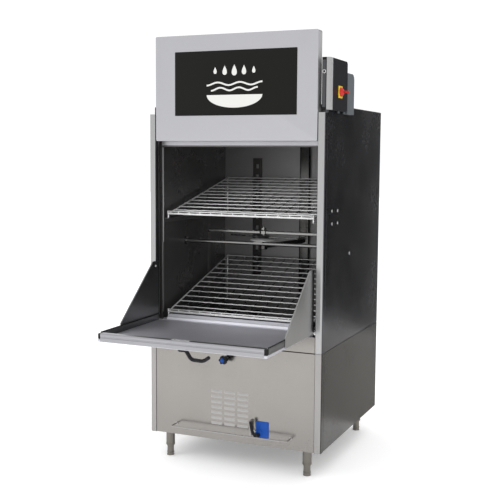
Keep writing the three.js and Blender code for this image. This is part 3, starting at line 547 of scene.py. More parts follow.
class WasherColours(bpy.types.PropertyGroup):
    """Base colours of the finishes."""

    door_steel: colour("Door steel", "Brushed steel of the doors", (0.50, 0.50, 0.525))
    post_steel: colour("Post steel", "Brushed steel of the posts, back and roof", (0.42, 0.42, 0.425))
    # painted highlight: paler colour standing for the light caught by louvres pressed from the panel's steel
    louvre_steel: colour("Louvres", "Paler pressed louvres of the base's front", (0.42, 0.41, 0.40))
    rail_steel: colour("Pull rail", "Satin steel of the pull rail", (0.40, 0.39, 0.38))
    base_post_steel: colour("Base post steel", "Steel of the posts below the joint",
                            (0.345, 0.335, 0.33))
    edge_steel: colour("Door edge", "Pale edges of the lifting door", (0.40, 0.40, 0.405))
    lip_steel: colour("Front lip", "Folded front edge of the lower door", (0.36, 0.36, 0.38))
    rim_steel: colour("Side rims", "Darker side rims of the lower door", (0.15, 0.15, 0.155))
    # painted reflection: dark colour standing for the side plates mirrored in the rims' inner faces
    ramp_steel: colour("Ramp", "Pale ramp between shelf and chamber", (0.85, 0.85, 0.92))
    upright_steel: colour("Uprights", "Perforated uprights at the back", (0.05, 0.048, 0.046))
    pipe_steel: colour("Pipes", "Riser duct and branch pipes", (0.10, 0.098, 0.095))
    arm_steel: colour("Spray arms", "Dull steel of the spray arms and the racks' long wires",
                      (0.32, 0.32, 0.315))
    disc_steel: colour("Carrier disc", "Pale dished plate under the arms", (0.62, 0.62, 0.61))
    key_film: colour("Key film", "Film over the keys", (0.035, 0.036, 0.04))
    panel_steel: colour("Panel steel", "Polished steel of the base's front", (0.30, 0.285, 0.27))
    # painted reflection: near-black colour standing for the dark surroundings that the hood's steel sides
    # mirror
    hood_side_steel: colour("Hood side", "Dark satin of the hood's sides", (0.075, 0.075, 0.085))
    # painted reflection: very dark colour standing for the dull surroundings that the base's steel sides
    # mirror
    base_side_steel: colour("Base side", "Satin steel of the base's sides", (0.035, 0.033, 0.03))
    # painted shade: dark colour standing for the shade and dark reflections on the chamber's steel walls
    chamber_steel: colour("Chamber steel", "Polished steel of the chamber's walls", (0.125, 0.121, 0.12))
    # painted shade: dark colour standing for the shade and dark reflections at the chamber's back
    chamber_back_steel: colour("Chamber back", "Satin steel of the chamber's back", (0.21, 0.205, 0.205))
    shelf_steel: colour("Shelf steel", "Satin steel of the lower door", (0.56, 0.56, 0.61))
    gusset_steel: colour("Side plate steel", "Satin steel of the lower door's side plates",
                         (0.36, 0.36, 0.355))
    # painted shade: the left side plate is the right plate's steel, coloured darker for the shade it stands in
    shaded_plate: colour("Left side plate", "Darker satin of the left side plate", (0.19, 0.19, 0.195))
    wire_steel: colour("Wire steel", "Bright steel of racks and rail", (0.80, 0.80, 0.80))
    dark_steel: colour("Leg steel", "Duller steel of legs and machinery", (0.20, 0.187, 0.168))
    black_plastic: colour("Black plastic", "Handles and knobs", (0.013, 0.013, 0.015))
    black_panel: colour("Black panel", "Front board and placard", (0.010, 0.010, 0.009))
    box_side: colour("Box side", "Control box's side", (0.012, 0.012, 0.015))
    rubber: colour("Rubber", "Seals and bumpers", (0.018, 0.018, 0.018))
    grey_plastic: colour("Grey plastic", "Cable duct", (0.10, 0.11, 0.12))
    pale_print: colour("Pale print", "Printed signs", (0.62, 0.62, 0.60))
    yellow_plastic: colour("Yellow plastic", "Main switch's plate", (0.76, 0.52, 0.03))
    red_plastic: colour("Red plastic", "Main switch's knob", (0.55, 0.02, 0.015))
    blue_plastic: colour("Blue plastic", "Water valve parts", (0.008, 0.075, 0.38))
    cast_iron: colour("Cast iron", "Pump and counterweight", (0.08, 0.09, 0.10))
    card: colour("Grey card", "Card that the base's side mirrors", (0.50, 0.485, 0.46))
    floor: colour("Floor", "Studio floor", (0.96, 0.96, 0.96))


def size(name):
    """A length property in millimetres."""
    return getattr(bpy.context.scene.washer_sizes, name) / MILLI


class Builder:
    """What every piece's operator shares: it builds, then says that it finished."""

    bl_options = {"REGISTER", "UNDO"}

    def execute(self, context):
        self.build()
        return {"FINISHED"}


# ---- cabinet ----
class WASHER_OT_posts(Builder, bpy.types.Operator):
    """Corner posts: folded channels with a round outer corner, and the joint of base and hood"""

    bl_idname = "washer.posts"
    bl_label = "Posts"

    def build(self):
        x0, x1, y0, y1, z0, z1 = span("right_post")
        radius, sheet, lip = 12.0, 2.0, 1.6
        joint = span("right_base_panel")[5] + 1.0
        gap = size("joint_gap") / 2
        middle = (x1 - radius, y0 + radius)
        turn = -35.0
        front = np.vstack([
            arc((x0 + lip, y0 + lip), lip, 180, 270, 4),
            arc(middle, radius, -90, turn, 8),
            arc(middle, radius - sheet, turn, -90, 8),
            [[x0 + sheet, y0 + sheet], [x0 + sheet, y1], [x0, y1]],
        ])
        flank = np.vstack([
            arc(middle, radius, turn, 0, 5),
            [[x1, y1], [x1 - sheet, y1]],
            arc(middle, radius - sheet, 0, turn, 5),
        ])
        cap = np.vstack([arc((x0 + lip, y0 + lip), lip, 180, 270, 4), arc(middle, radius, -90, 0, 12),
                         [[x1, y1], [x0, y1]]])
        foot = Form().prism(front, z0, joint - gap, "z")
        face = Form().prism(front, joint + gap, z1 - 1, "z").prism(cap, z1 - 1.6, z1, "z")
        lower = Form().prism(flank, z0, joint - gap, "z")
        upper = Form().prism(flank, joint + gap, z1 - 1, "z")
        edge = size("sheet_edge") * 0.6
        for side in ("right", "left"):
            parts = [form if side == "right" else flipped(form) for form in (face, lower, upper, foot)]
            piece(f"{side}_corner_post", parts[0], "post_steel", stands_for=[f"{side}_post"], bevel=edge)
            piece(f"{side}_base_post", parts[3], "base_post_steel", bevel=edge)
            piece(f"{side}_base_flank", parts[1], "base_side_steel")
            piece(f"{side}_hood_flank", parts[2], "hood_side_steel")
        dress("left_guide_strip", "black_plastic")
        dress("right_guide_strip", "black_plastic")


def flipped(form):
    """The mirror image in X of a form, with its faces turned round to point out."""
    other = Form()
    other.points = [points * [-1, 1, 1] for points in form.points]
    other.faces = [face[::-1] for face in form.faces]
    other.count = form.count
    return other


class WASHER_OT_panels(Builder, bpy.types.Operator):
    """Side, back and roof sheets with their screws, and the fittings on the back"""

    bl_idname = "washer.panels"
    bl_label = "Side, back and roof"

    def build(self):
        for side in ("left", "right"):
            dress(f"{side}_side_panel", "hood_side_steel", 0.8)
            dress(f"{side}_base_panel", "base_side_steel", 0.8)
        dress("rear_panel", "back_steel", 0.5)
        dress("roof_panel", "roof_steel", 0.8)
        self.side_bolts()
        self.back_details()

    def side_bolts(self):
        """The rack rails' and arm carrier's bolts through the hood's sides."""
        x = span("right_base_panel")[1]
        form = Form()
        for y, z in ((127, 1325), (217, 1323), (130, 1262), (218, 1261), (424, 1089)):
            form.screw((x, y, z), "x", 1, 7.0, 3.0)
        form.mirrored()
        piece("side_bolts", form, "wire_steel")

    def back_details(self):
        """Folded stiffening frames on the back sheet, its screws, and round fittings."""
        x0, x1, _, _, z0, z1 = span("rear_panel")
        y = span("roof_panel")[3]
        form = Form()
        for low, high in ((z0 + 40, 610), (670, z1 - 60)):
            for inset, rise in ((60, 1.6), (90, 1.0)):
                form.stack(raised_rows(x0 + inset, x1 - inset, low, high, 18, y - 0.6, y + rise, 6), "y")
        piece("back_cover_plates", form, "back_steel")
        form = Form()
        for z in np.linspace(z0 + 18, z1 - 18, 9):
            form.screw((x0 + 16, y, z), "y", 1, size("screw_diameter") / 2, 2.0)
            form.screw((x1 - 16, y, z), "y", 1, size("screw_diameter") / 2, 2.0)
        piece("back_screws", form, "wire_steel")
        form = Form()
        form.turned([(24, 0), (24, 6), (22, 8), (15, 8), (14.6, 21), (12, 24), (8, 24.6), (7.4, 14)],
                    (330, y, 230), "y", 24)
        piece("cable_gland", form, "black_plastic")
        form = Form()
        inlet = [(18, 0), (18, 5), (10.6, 5.4)]
        for turn in range(6):
            inlet += [(10.6, 6.5 + turn * 3), (9.8, 8 + turn * 3)]
        form.turned(inlet + [(9.6, 24.4), (6.5, 24.6), (6.4, 12)], (380, y, 300), "y", 24)
        form.turned([(36, 0), (36, 4), (26, 5), (25.4, 24.2), (24.6, 24.8), (22.4, 24.8), (22.2, 8)],
                    (-300, y, 200), "y", 32)
        piece("water_connections", form, "wire_steel")


def raised_rows(u0, u1, v0, v1, radius, low, high, slope):
    """Rows of a raised panel: a step that rises over its slope, rounded at the foot and the brow."""
    t = np.linspace(0, 1, 7)
    rise = (3 * t**2 - 2 * t**3) * (high - low)
    inset = t * slope
    rows = [np.full(7, u0) + inset, np.full(7, u1) - inset, np.full(7, v0) + inset, np.full(7, v1) - inset]
    return np.stack(rows + [np.maximum(radius - inset, 1.0), low + rise], -1)


class WASHER_OT_chamber(Builder, bpy.types.Operator):
    """Wash chamber: walls, back, lintel, rails, uprights, tank, strainer, heater and riser"""

    bl_idname = "washer.chamber"
    bl_label = "Wash chamber"

    def build(self):
        for node in ("left_chamber_wall", "right_chamber_wall", "chamber_hood", "wash_tank"):
            dress(node, "chamber_steel", 0.5)
        dress("chamber_rear_wall", "chamber_back_steel", 0.5)
        dress("tank_strainer", "chamber_back_steel", 0.4)
        for side in ("left", "right"):
            dress(f"{side}_rack_rails", "chamber_back_steel", 0.4)
            dress(f"{side}_rear_upright", "upright_steel", 0.5)
        self.lintel()
        self.jambs()
        self.riser()
        self.heater()

    def lintel(self):
        """The bright strip over the opening, turned in at its lower edge."""
        x0, x1, y0, _, z0, _ = span("chamber_hood")
        path = rounded_path([(y0 - 2, z0 + 90), (y0 - 2, z0 + 9), (y0 - 0.8, z0 + 7)], 0.8, 4)
        form = Form().prism(folded_sheet(path, 1.4), x0 + 0.6, x1 - 0.6, "x")
        piece("lintel_strip", form, "door_steel", bevel=0.4)

    def jambs(self):
        """Upright beads that trim the front edges of the chamber's walls."""
        x1 = span("right_chamber_wall")[0]
        z0 = span("front_sill")[5] + 6
        z1 = span("chamber_hood")[4] - 4
        y = span("right_chamber_wall")[2]
        plates_rise = 92  # a little more than the side plates rise as the door shuts
        clear = span("right_gusset")[5] + plates_rise
        form = Form().block(x1 - 7, x1 - 0.5, y - 1, y + 11, clear, z1, 3, 1.2)
        form.block(x1 - 2.9, x1 - 0.5, y - 1, y + 11, z0, clear + 2, 1.1, 0.8)
        for z in (clear + 30, z1 - 30):
            form.screw((x1 - 3.6, y - 1, z), "y", -1, 2.4, 1.2)
        form.mirrored()
        piece("jamb_beads", form, "post_steel")

    def riser(self):
        """The flat riser duct at the back, its two branch pipes and their hubs."""
        _, _, _, _, z0, z1 = span("riser_pipe")
        x, y, hub_y = 77.0, 826.0, 400.0
        form = Form().block(x - 30, x + 30, y - 11, y + 11, z0, z1, 7, 3)
        for z, low, high, width in ((1700, -18, 14, 16), (1106, -16, 17, 20)):
            form.tube([(x, y, z), (0, hub_y, z)], 13, 20)
            form.turned([(width - 2, low), (width, low + 2), (width, high - 2), (width - 2, high)],
                        (0, hub_y, z), "z", 28)
            clip = np.array([x, y - 14, z]) * [0.85, 1, 1]
            form.tube([clip, clip + [-4, -22, 0]], 17, 20)
        form.turned([(8, 0), (8, 46)], (0, hub_y, 1646), "z", 20)
        form.turned([(11, 0), (13, 1.5), (13, 7.5), (11, 9)], (0, hub_y, 1644), "z", 6)
        for z in np.arange(800, 1560, 190):
            form.screw((x - 20, y - 11, z), "y", -1, 4, 2)
            form.screw((x + 20, y - 11, z), "y", -1, 4, 2)
        piece("riser_duct", form, "pipe_steel", stands_for=["riser_pipe"])

    def heater(self):
        """The tank's heating element: one rod bent to and fro."""
        x0, x1, y0, y1, z0, z1 = span("tank_heater")
        z, near, far = (z0 + z1) / 2, y0 + 6, y1 - 6
        middle = (near + far) / 2
        path = [(x0 + 6, near, z), (x1 - 6, near, z), (x1 - 6, middle, z), (x0 + 6, middle, z),
                (x0 + 6, far, z), (x1 - 6, far, z)]
        form = Form().tube(rounded_path(path, 22, 8), 5.5, 12)
        piece("heating_rod", form, "dark_steel", stands_for=["tank_heater"])


class WASHER_OT_sill(Builder, bpy.types.Operator):
    """Sill under the lower door: a face and a stepped slope that drains into the chamber"""

    bl_idname = "washer.sill"
    bl_label = "Sill"

    def build(self):
        x0, x1, y0, _, z0, _ = span("front_sill")
        form = Form().block(x0, x1, y0, y0 + 2, z0, z0 + 79, 1, 0.5, "y")
        piece("sill_face", form, "panel_steel")
        form = Form()
        steps = [(y0 + 1, z0 + 78), (y0 + 4, z0 + 79.5), (y0 + 18, z0 + 86), (y0 + 21, z0 + 90),
                 (y0 + 36, z0 + 96), (y0 + 39, z0 + 100), (y0 + 58, z0 + 105.4), (y0 + 58, z0 + 70)]
        form.prism(folded_sheet(rounded_path(steps, 1.4, 3), -1.4), x0 + 16, x1 - 16, "x")
        piece("sill_sheet", form, "shelf_steel", stands_for=["front_sill"], bevel=0.3)
        ramp = [(y0 + 19, z0 + 87), (y0 + 24.6, z0 + 113.6), (y0 + 40, z0 + 119), (y0 + 44, z0 + 122.4),
                (y0 + 58.6, z0 + 127.4), (y0 + 58.6, z0 + 106)]
        form = Form().prism(folded_sheet(rounded_path(ramp, 2.2, 4), -1.4), -388, 388, "x")
        piece("sill_ramp", form, "ramp_steel", bevel=0.3)


class WASHER_OT_base_front(Builder, bpy.types.Operator):
    """Base front: panel, pressed louvres and pull rail"""

    bl_idname = "washer.base_front"
    bl_label = "Base front"

    def build(self):
        dress("lower_front_panel", "panel_steel", 0.5)
        self.louvres()
        self.rail()

    def louvres(self):
        """Pressed hoods over the panel's slots. Along X at u from -1 to 1 a hood stands out by
        depth (1 - u^6), and down its height at v from 0 to 1 by sin(90 v) of that."""
        face = span("lower_front_panel")[2]
        depth, half, tall, sheet = size("louvre_depth"), 29.5, 13.0, 1.1
        u = np.linspace(-1, 1, 21)
        u = np.sign(u) * np.abs(u) ** 0.6
        v = np.linspace(0, 1, 7)
        out = (1 - np.abs(u) ** 6)[:, None] * np.sin(np.pi / 2 * v)[None, :] * depth
        form = Form()
        for column in (-90, -16, 58):
            for row in range(7):
                low = 218 + row * 27.8
                x = column + half * u[:, None] + 0 * out
                z = low + tall * (1 - v)[None, :] + 0 * out
                front = np.stack([x, face - out, z], -1)
                inside = np.stack([x, face - out + sheet, z], -1)[:, ::-1]
                form.shell(np.concatenate([front, inside], 1))
        piece("louvre_hoods", form, "louvre_steel", smooth=50)

    def rail(self):
        """The pull rail: a round rod bent back into the panel at both ends, with a washer at each."""
        x0, x1, y0, y1, z0, z1 = span("panel_pull_rail")
        radius = size("rail_diameter") / 2
        z = (z0 + z1) / 2
        path = [(x0 + 4, y1, z), (x0 + 4, y0 + 4, z), (x1 - 4, y0 + 4, z), (x1 - 4, y1, z)]
        form = Form().tube(rounded_path(path, 14, 8), radius, 18)
        for x in (x0 + 4, x1 - 4):
            form.turned([(8.5, 0), (9, -1), (8.4, -2.6), (radius, -3)], (x, y1 + 0.2, z), "y", 24)
        piece("pull_rail", form, "rail_steel", stands_for=["panel_pull_rail"])


class WASHER_OT_legs(Builder, bpy.types.Operator):
    """Base frame with its leg sleeves, and the four screw feet"""

    bl_idname = "washer.legs"
    bl_label = "Legs"

    def build(self):
        out, inn, tube = 472.0, 442.0, 30.0
        front, back = 43.0, 915.0
        form = Form()
        for z0, z1, deep in ((137, 167, tube), (600, 630, 16)):
            form.block(-out, out, front, front + deep, z0, z1, 3, 2, "x")
            form.block(-out, out, back - tube, back, z0, z1, 3, 2, "x")
            for x0, x1 in ((-out, -inn), (inn, out)):
                form.block(x0, x1, front, back, z0, z1, 3, 2, "y")
        for x0, x1 in ((-out, -inn), (inn, out)):
            for y0, y1 in ((front, 59), (885, back)):
                form.block(x0, x1, y0, y1, 145, 625, 3, 2)
        sleeve = [(21.4, 80), (21.4, 58.6), (22.2, 58), (23.6, 58), (24, 59), (24, 66), (23, 67), (23, 128),
                  (26, 131), (26, 137), (24, 138)]
        for x in (-387, 387):
            for y in (58, 900):
                form.turned(sleeve, (x, y, 0), "z", 32)
        piece("frame_and_sleeves", form, "leg_steel", stands_for=["base_frame"])
        foot = [(14, 0), (19, 0), (20, 1), (20, 5), (17.5, 9), (17.5, 12), (19.6, 14), (19.6, 19), (17.8, 21),
                (17.8, 50), (20, 52), (20, 103), (19, 104)]
        for corner in ("front_left", "front_right", "rear_left", "rear_right"):
            x0, x1, y0, y1, _, _ = span(f"foot_{corner}")
            form = Form().turned(foot, ((x0 + x1) / 2, (y0 + y1) / 2, 0), "z", 32)
            name = f"foot_{corner}"
            piece(f"{name}_stem", form, "leg_steel", name, [name])


# ---- doors ----
class WASHER_OT_upper_door(Builder, bpy.types.Operator):
    """Lifting door: an outer shell, a black seal and an inner sheet"""

    bl_idname = "washer.upper_door"
    bl_label = "Upper door"

    def build(self):
        x0, x1, _, y1, z0, z1 = span("upper_door_liner")
        front = span("upper_door_shell")[2]
        shell_back = front + 43
        t = np.linspace(0, np.pi / 2, 6)
        edge = 2.6
        form = Form()
        rows = [(x0 + i, x1 - i, z0 + i, z1 - i, max(8 - i, 1), front + edge - d)
                for i, d in zip(edge * (1 - np.sin(t)), edge * np.cos(t))]
        rows += [(x0, x1, z0, z1, 8, shell_back - 1), (x0 + 1, x1 - 1, z0 + 1, z1 - 1, 7, shell_back)]
        form.stack(rows, "y", 6)
        for side in (-1, 1):
            low, high = sorted((side * (x1 - 1), side * 462))
            form.block(low, high, 43, 52.4, z0 + 11, z0 + 81, 3, 1.2, "y")
        body = "upper_door"
        piece("upper_door_face", form, "door_steel", body, stands_for=["upper_door_shell"])
        form = Form().block(x1 - 1, x1 + 0.4, front + 6, y1 - 1.4, z0 + 3, z1 - 9, 1, 0.3, "x").mirrored()
        piece("upper_door_edges", form, "edge_steel", body)
        form = Form().block(x0 + 3, x1 - 3, shell_back - 0.4, y1 - 7.6, z0 + 3, z1 - 3, 6, 0.6, "y")
        piece("upper_door_seal", form, "rubber", body)
        form = Form().block(x0, x1, y1 - 8, y1, z0, z1, 8, 1.2, "y")
        form.stack(raised_rows(x0 + 40, x1 - 40, z0 + 40, z1 - 40, 20, y1 - 0.2, y1 + 0.4, 8), "y")
        piece("upper_door_back", form, "post_steel", body, stands_for=["upper_door_liner"])


class WASHER_OT_placard(Builder, bpy.types.Operator):
    """Black board on the door, with a plain sign of spray and a pan"""

    bl_idname = "washer.placard"
    bl_label = "Placard"

    def build(self):
        x0, x1, y0, y1, z0, z1 = span("door_placard")
        body = "upper_door"
        form = Form().block(x0, x1, y0 + 0.5, y1, z0, z1, 3, 0.5, "y")
        piece("placard_board", form, "black_panel", body, ["door_placard"])
        low, high = y0 + 0.1, y0 + 0.7
        form = Form()
        middle, height = (x0 + x1) / 2, (z0 + z1) / 2
        for step, tall in ((-2, 34), (-1, 46), (0, 54), (1, 46), (2, 34)):
            form.prism(self.drop(middle + step * 52, height + 62, tall), low, high, "y")
        for row, lift in enumerate((0, 26)):
            form.prism(self.wave(middle, height - 8 - lift, 150 - row * 24), low, high, "y")
        bowl = np.vstack([[[middle - 150, height - 58]], arc((middle, height - 58), 150, 180, 360, 40) *
                          [1, 1]])
        bowl[:, 1] = height - 58 + (bowl[:, 1] - (height - 58)) * 0.42
        form.prism(bowl, low, high, "y")
        piece("placard_sign", form, "pale_print", body)

    def drop(self, x, z, tall):
        """A falling drop: a circle whose top is drawn to a point, as tall as given."""
        a = np.linspace(0, 2 * np.pi, 28, endpoint=False)
        width = 0.36 * tall * np.sin(a) * np.sin(a / 2) ** 1.4
        return np.stack([x + width, z + 0.5 * tall * np.cos(a)], -1)

    def wave(self, x, z, half):
        """A ribbon 9 mm thick along z + 7 sin of two and a half turns."""
        u = np.linspace(-1, 1, 61)
        line = np.stack([x + half * u, z + 7 * np.sin(u * 2.5 * np.pi)], -1)
        return folded_sheet(line, 8.0)


class WASHER_OT_lower_door(Builder, bpy.types.Operator):
    """Fold-down door, open as a shelf: tray, rims, front lip with its latch slot, seals and bumpers"""

    bl_idname = "washer.lower_door"
    bl_label = "Lower door"

    def build(self):
        x0, x1, y0, y1, z0, z1 = span("lower_door_shell")
        body, pan = "lower_door", 740.0
        form = Form()
        form.block(x0, x1, y0 + 1, y1 - 0.4, z0, pan, 4, 2.4)
        form.block(x0 + 8, x1 - 8, -9, y1 - 0.6, pan - 2, pan + 3.6, 2, 1.6)
        piece("shelf_tray", form, "shelf_steel", body, ["lower_door_shell"])
        form = Form().block(x1 - 9, x1 - 0.4, y0 + 24, y1 - 1, pan - 2, z1, 2, 1.8).mirrored()
        piece("shelf_side_rims", form, "rim_steel", body)
        self.front_lip(x0, x1, y0, z0, z1, pan, body)
        self.seals(x0, x1, y0, y1, z1, body)

    def front_lip(self, x0, x1, y0, z0, z1, pan, body):
        """The double fold along the front edge, open in the middle for the latch, and the latch hook."""
        back = y0 + 32
        face = [(back, pan - 2), (y0 + 3, pan - 2), (y0 + 3, z0 + 1), (y0, z0 + 3), (y0, z0 + 19),
                (y0 + 2.6, z0 + 21), (y0 + 2.6, z0 + 24), (y0 + 0.8, z0 + 26), (y0 + 0.8, z1 - 4),
                (y0 + 4, z1)]
        rear = [(back - 3, z1), (back, z1 - 3)]
        slot = [(y0 + 12, z1), (y0 + 12, z1 - 18), (y0 + 24, z1 - 18), (y0 + 24, z1)]
        form = Form()
        form.prism(face + rear, x0 + 14, -38, "x").prism(face + rear, 38, x1 - 14, "x")
        form.prism(face + slot + rear, -38, 38, "x")
        piece("shelf_front_lip", form, "lip_steel", body, ["lower_door_liner"], bevel=0.9)
        form = Form().block(20, 34, y0 + 14, y0 + 20, z1 - 20, z1 - 7, 2, 1, "y")
        form.tube([(16, y0 + 18, z1 - 6), (38, y0 + 18, z1 - 6)], 3.2, 14)
        piece("latch_hook", form, "wire_steel", body)
        form = Form()
        for a, b in ((-46, -38.4), (38.4, 46)):
            form.block(a, b, y0 + 9, y0 + 27, z1 - 0.2, z1 + 0.9, 2, 0.4)
        form.block(-39, 39, y0 + 9, y0 + 12.4, z1 - 0.2, z1 + 0.9, 1, 0.4)
        form.block(-39, 39, y0 + 23.6, y0 + 27, z1 - 0.2, z1 + 0.9, 1, 0.4)
        piece("latch_bezel", form, "wire_steel", body)

    def seals(self, x0, x1, y0, y1, z1, body):
        """Rubber along the rims' tops, and the black bumpers at the front corners."""
        form = Form()
        high = z1 + size("gasket_height")
        form.block(x1 - 7.4, x1 - 1.4, y0 + 26, y1 - 3, z1 - 0.6, high, 1.4, 1.2)
        form.block(x1 - 14, x1 - 0.4, y0 + 1, y0 + 22, z1 - 27, z1 - 1.4, 6, 3)
        form.mirrored()
        piece("shelf_seals", form, "rubber", body)


class WASHER_OT_side_plates(Builder, bpy.types.Operator):
    """The lower door's side plates: sheets with a folded sloping edge, their bolts and hinge pins"""

    bl_idname = "washer.side_plates"
    bl_label = "Side plates"

    def build(self):
        _, x1, y0, y1, z0, z1 = span("right_gusset")
        inner, outer = x1 - 3, x1
        pivot_y, pivot_z = 8.0, 735.0
        outline = [(y0, 731), (-6, 731), (-2, z0), (16, z0), (y1, pivot_z), (16, 746), (5, 752), (5, z1),
                   (-55, z1), (y0, 780)]
        hem_path = rounded_path([(y0 + 1, 777.6), (-54.6, z1 - 2.2), (4, z1 - 2.2)], 8, 5)
        for side in ("right", "left"):
            form = Form().prism(outline, inner, outer, "x")
            hem = np.insert(hem_path, 0, inner - 1.2, axis=1)
            form.tube(hem, 2.2, 10, (1, 0, 0))
            form.turned([(10, 0), (10, -1), (8, -1.8), (6, -1.8)], (inner, pivot_y, pivot_z), "x", 24)
            form = form if side == "right" else flipped(form)
            # painted shade: the left plate takes a darker copy of the same steel
            look = "gusset_steel" if side == "right" else "shaded_plate"
            piece(f"{side}_side_plate", form, look, "lower_door",
                  [f"{side}_gusset"], bevel=0.5)
        form = Form()
        for y, z in ((-24, z1 - 26), (-150, 752), (-300, 752)):
            form.screw((inner, y, z), "x", -1, 6.0, 3.2)
        form.mirrored()
        piece("side_plate_bolts", form, "wire_steel", "lower_door")
        form = Form()
        _, post, _, _, _, _ = span("right_hinge_pin")
        pin = [(6, inner - 5.4), (7, inner - 4.8), (7, inner - 1.2), (4.9, inner - 1), (4.9, post - 5.6),
               (9, post - 5.6), (10, post - 4.8), (10, post)]
        form.turned(pin, (0, pivot_y, pivot_z), "x", 28)
        for side in ("right", "left"):
            mesh = form if side == "right" else flipped(form)
            piece(f"{side}_hinge_bolt", mesh, "wire_steel",
                  stands_for=[f"{side}_hinge_pin"])


class WASHER_OT_door_handle(Builder, bpy.types.Operator):
    """Black cranked handle under the lower door"""

    bl_idname = "washer.door_handle"
    bl_label = "Door handle"

    def build(self):
        x, y, under = -20.0, -500.0, span("lower_door_shell")[4]
        path = [(x - 12, y, under - 13), (x + 14, y, under - 16), (x + 42, y, under - 58),
                (x + 104, y, under - 60), (x + 134, y, under - 38)]
        form = Form().tube(rounded_path(path, 16, 7), 8.6, 16, (0, 1, 0), 3.0, 1.25)
        form.turned([(22, -22), (24, -20), (24, -4), (21, -1), (12, -1)], (x, y, under), "z", 32)
        form.turned([(6.8, -2), (6.8, 7.6)], (x, y, under), "z", 20)
        piece("cranked_handle", form, "black_plastic", "door_handle", ["door_handle"])


# ---- racks and arms ----
class WASHER_OT_racks(Builder, bpy.types.Operator):
    """Two sloping racks of crossed wires on short front feet and tall rear legs"""

    bl_idname = "washer.racks"
    bl_label = "Racks"

    def build(self):
        sizes = bpy.context.scene.washer_sizes
        for body, front_z, rise, rail in (("upper_rack", 1288, 174, 1265), ("lower_rack", 772, 225, 745)):
            form, dull = Form(), Form()
            self.mesh(form, dull, sizes.wires_along, sizes.wires_across, front_z, rise)
            self.border(form, sizes.wires_along, front_z, rise, rail)
            piece(f"{body}_wires", form, "wire_steel", body, [body], smooth=60)
            piece(f"{body}_long_wires", dull, "arm_steel", body, smooth=60)

    def mesh(self, form, dull, along, across, front_z, rise, half=402.0, front=60.0, run=748.0):
        """Dull straight wires to the back, and bright wires across that rest on them and wave a little:
        their height is 0.75 of a wire's radius plus a fifth of it times cos(2 pi u) of the count u of
        wires passed."""
        radius = size("wire_diameter") / 2
        length_ = math.hypot(run, rise)
        slope = np.array([run, rise]) / length_

        def to_space(x, s, n):
            y = front + s * slope[0] - n * slope[1]
            return np.stack([x + 0 * s, y + 0 * x, front_z + s * slope[1] + n * slope[0] + 0 * x], -1)

        xs = np.linspace(-half, half, along)
        ends = np.array([4.0, length_ - 4])
        for x in xs:
            dull.tube(to_space(np.full(2, x), ends, np.full(2, -0.8 * radius)), radius, 8, (1, 0, 0), 0.5)
        u = np.linspace(0, along - 1, 6 * (along - 1) + 1)
        x = np.interp(u, np.arange(along), xs)
        lift = radius * (0.75 + 0.2 * np.cos(2 * np.pi * u))
        for distance in np.linspace(6, length_ - 6, across):
            form.tube(to_space(x, np.full_like(x, distance), lift), radius, 8, (0, 1, 0), 0.5)

    def border(self, form, along, front_z, rise, rail, half=405.0, front=60.0, run=748.0):
        """A stouter wire round the edge, a second front wire above it on short uprights, and the legs."""
        thick = size("wire_diameter") / 2 + 0.5
        back_z = front_z + rise
        edge = half - thick
        near, far = front + thick, front + run - thick
        for side in (-edge, edge):
            form.tube([(side, near, front_z), (side, far, back_z)], thick, 10, (1, 0, 0))
        form.tube([(-half, near, front_z), (half, near, front_z)], thick, 10)
        form.tube([(-half, far, back_z), (half, far, back_z)], thick, 10)
        form.tube([(-half, near, front_z + 14), (half, near, front_z + 14)], 3.0, 10)
        for x in np.linspace(-half + 3, half - 3, along):
            form.tube([(x, near - 1, front_z - 1), (x, near - 1, front_z + 15)], 2.8, 8, (0, 1, 0))
        for x in (-half + 4, half - 4):
            form.tube([(x, front + 6, rail + 0.6), (x, front + 6, front_z)], 4, 12, (0, 1, 0))
            form.tube([(x, far - 4, rail + 0.6), (x, far - 4, back_z - 1)], 4, 12, (0, 1, 0))


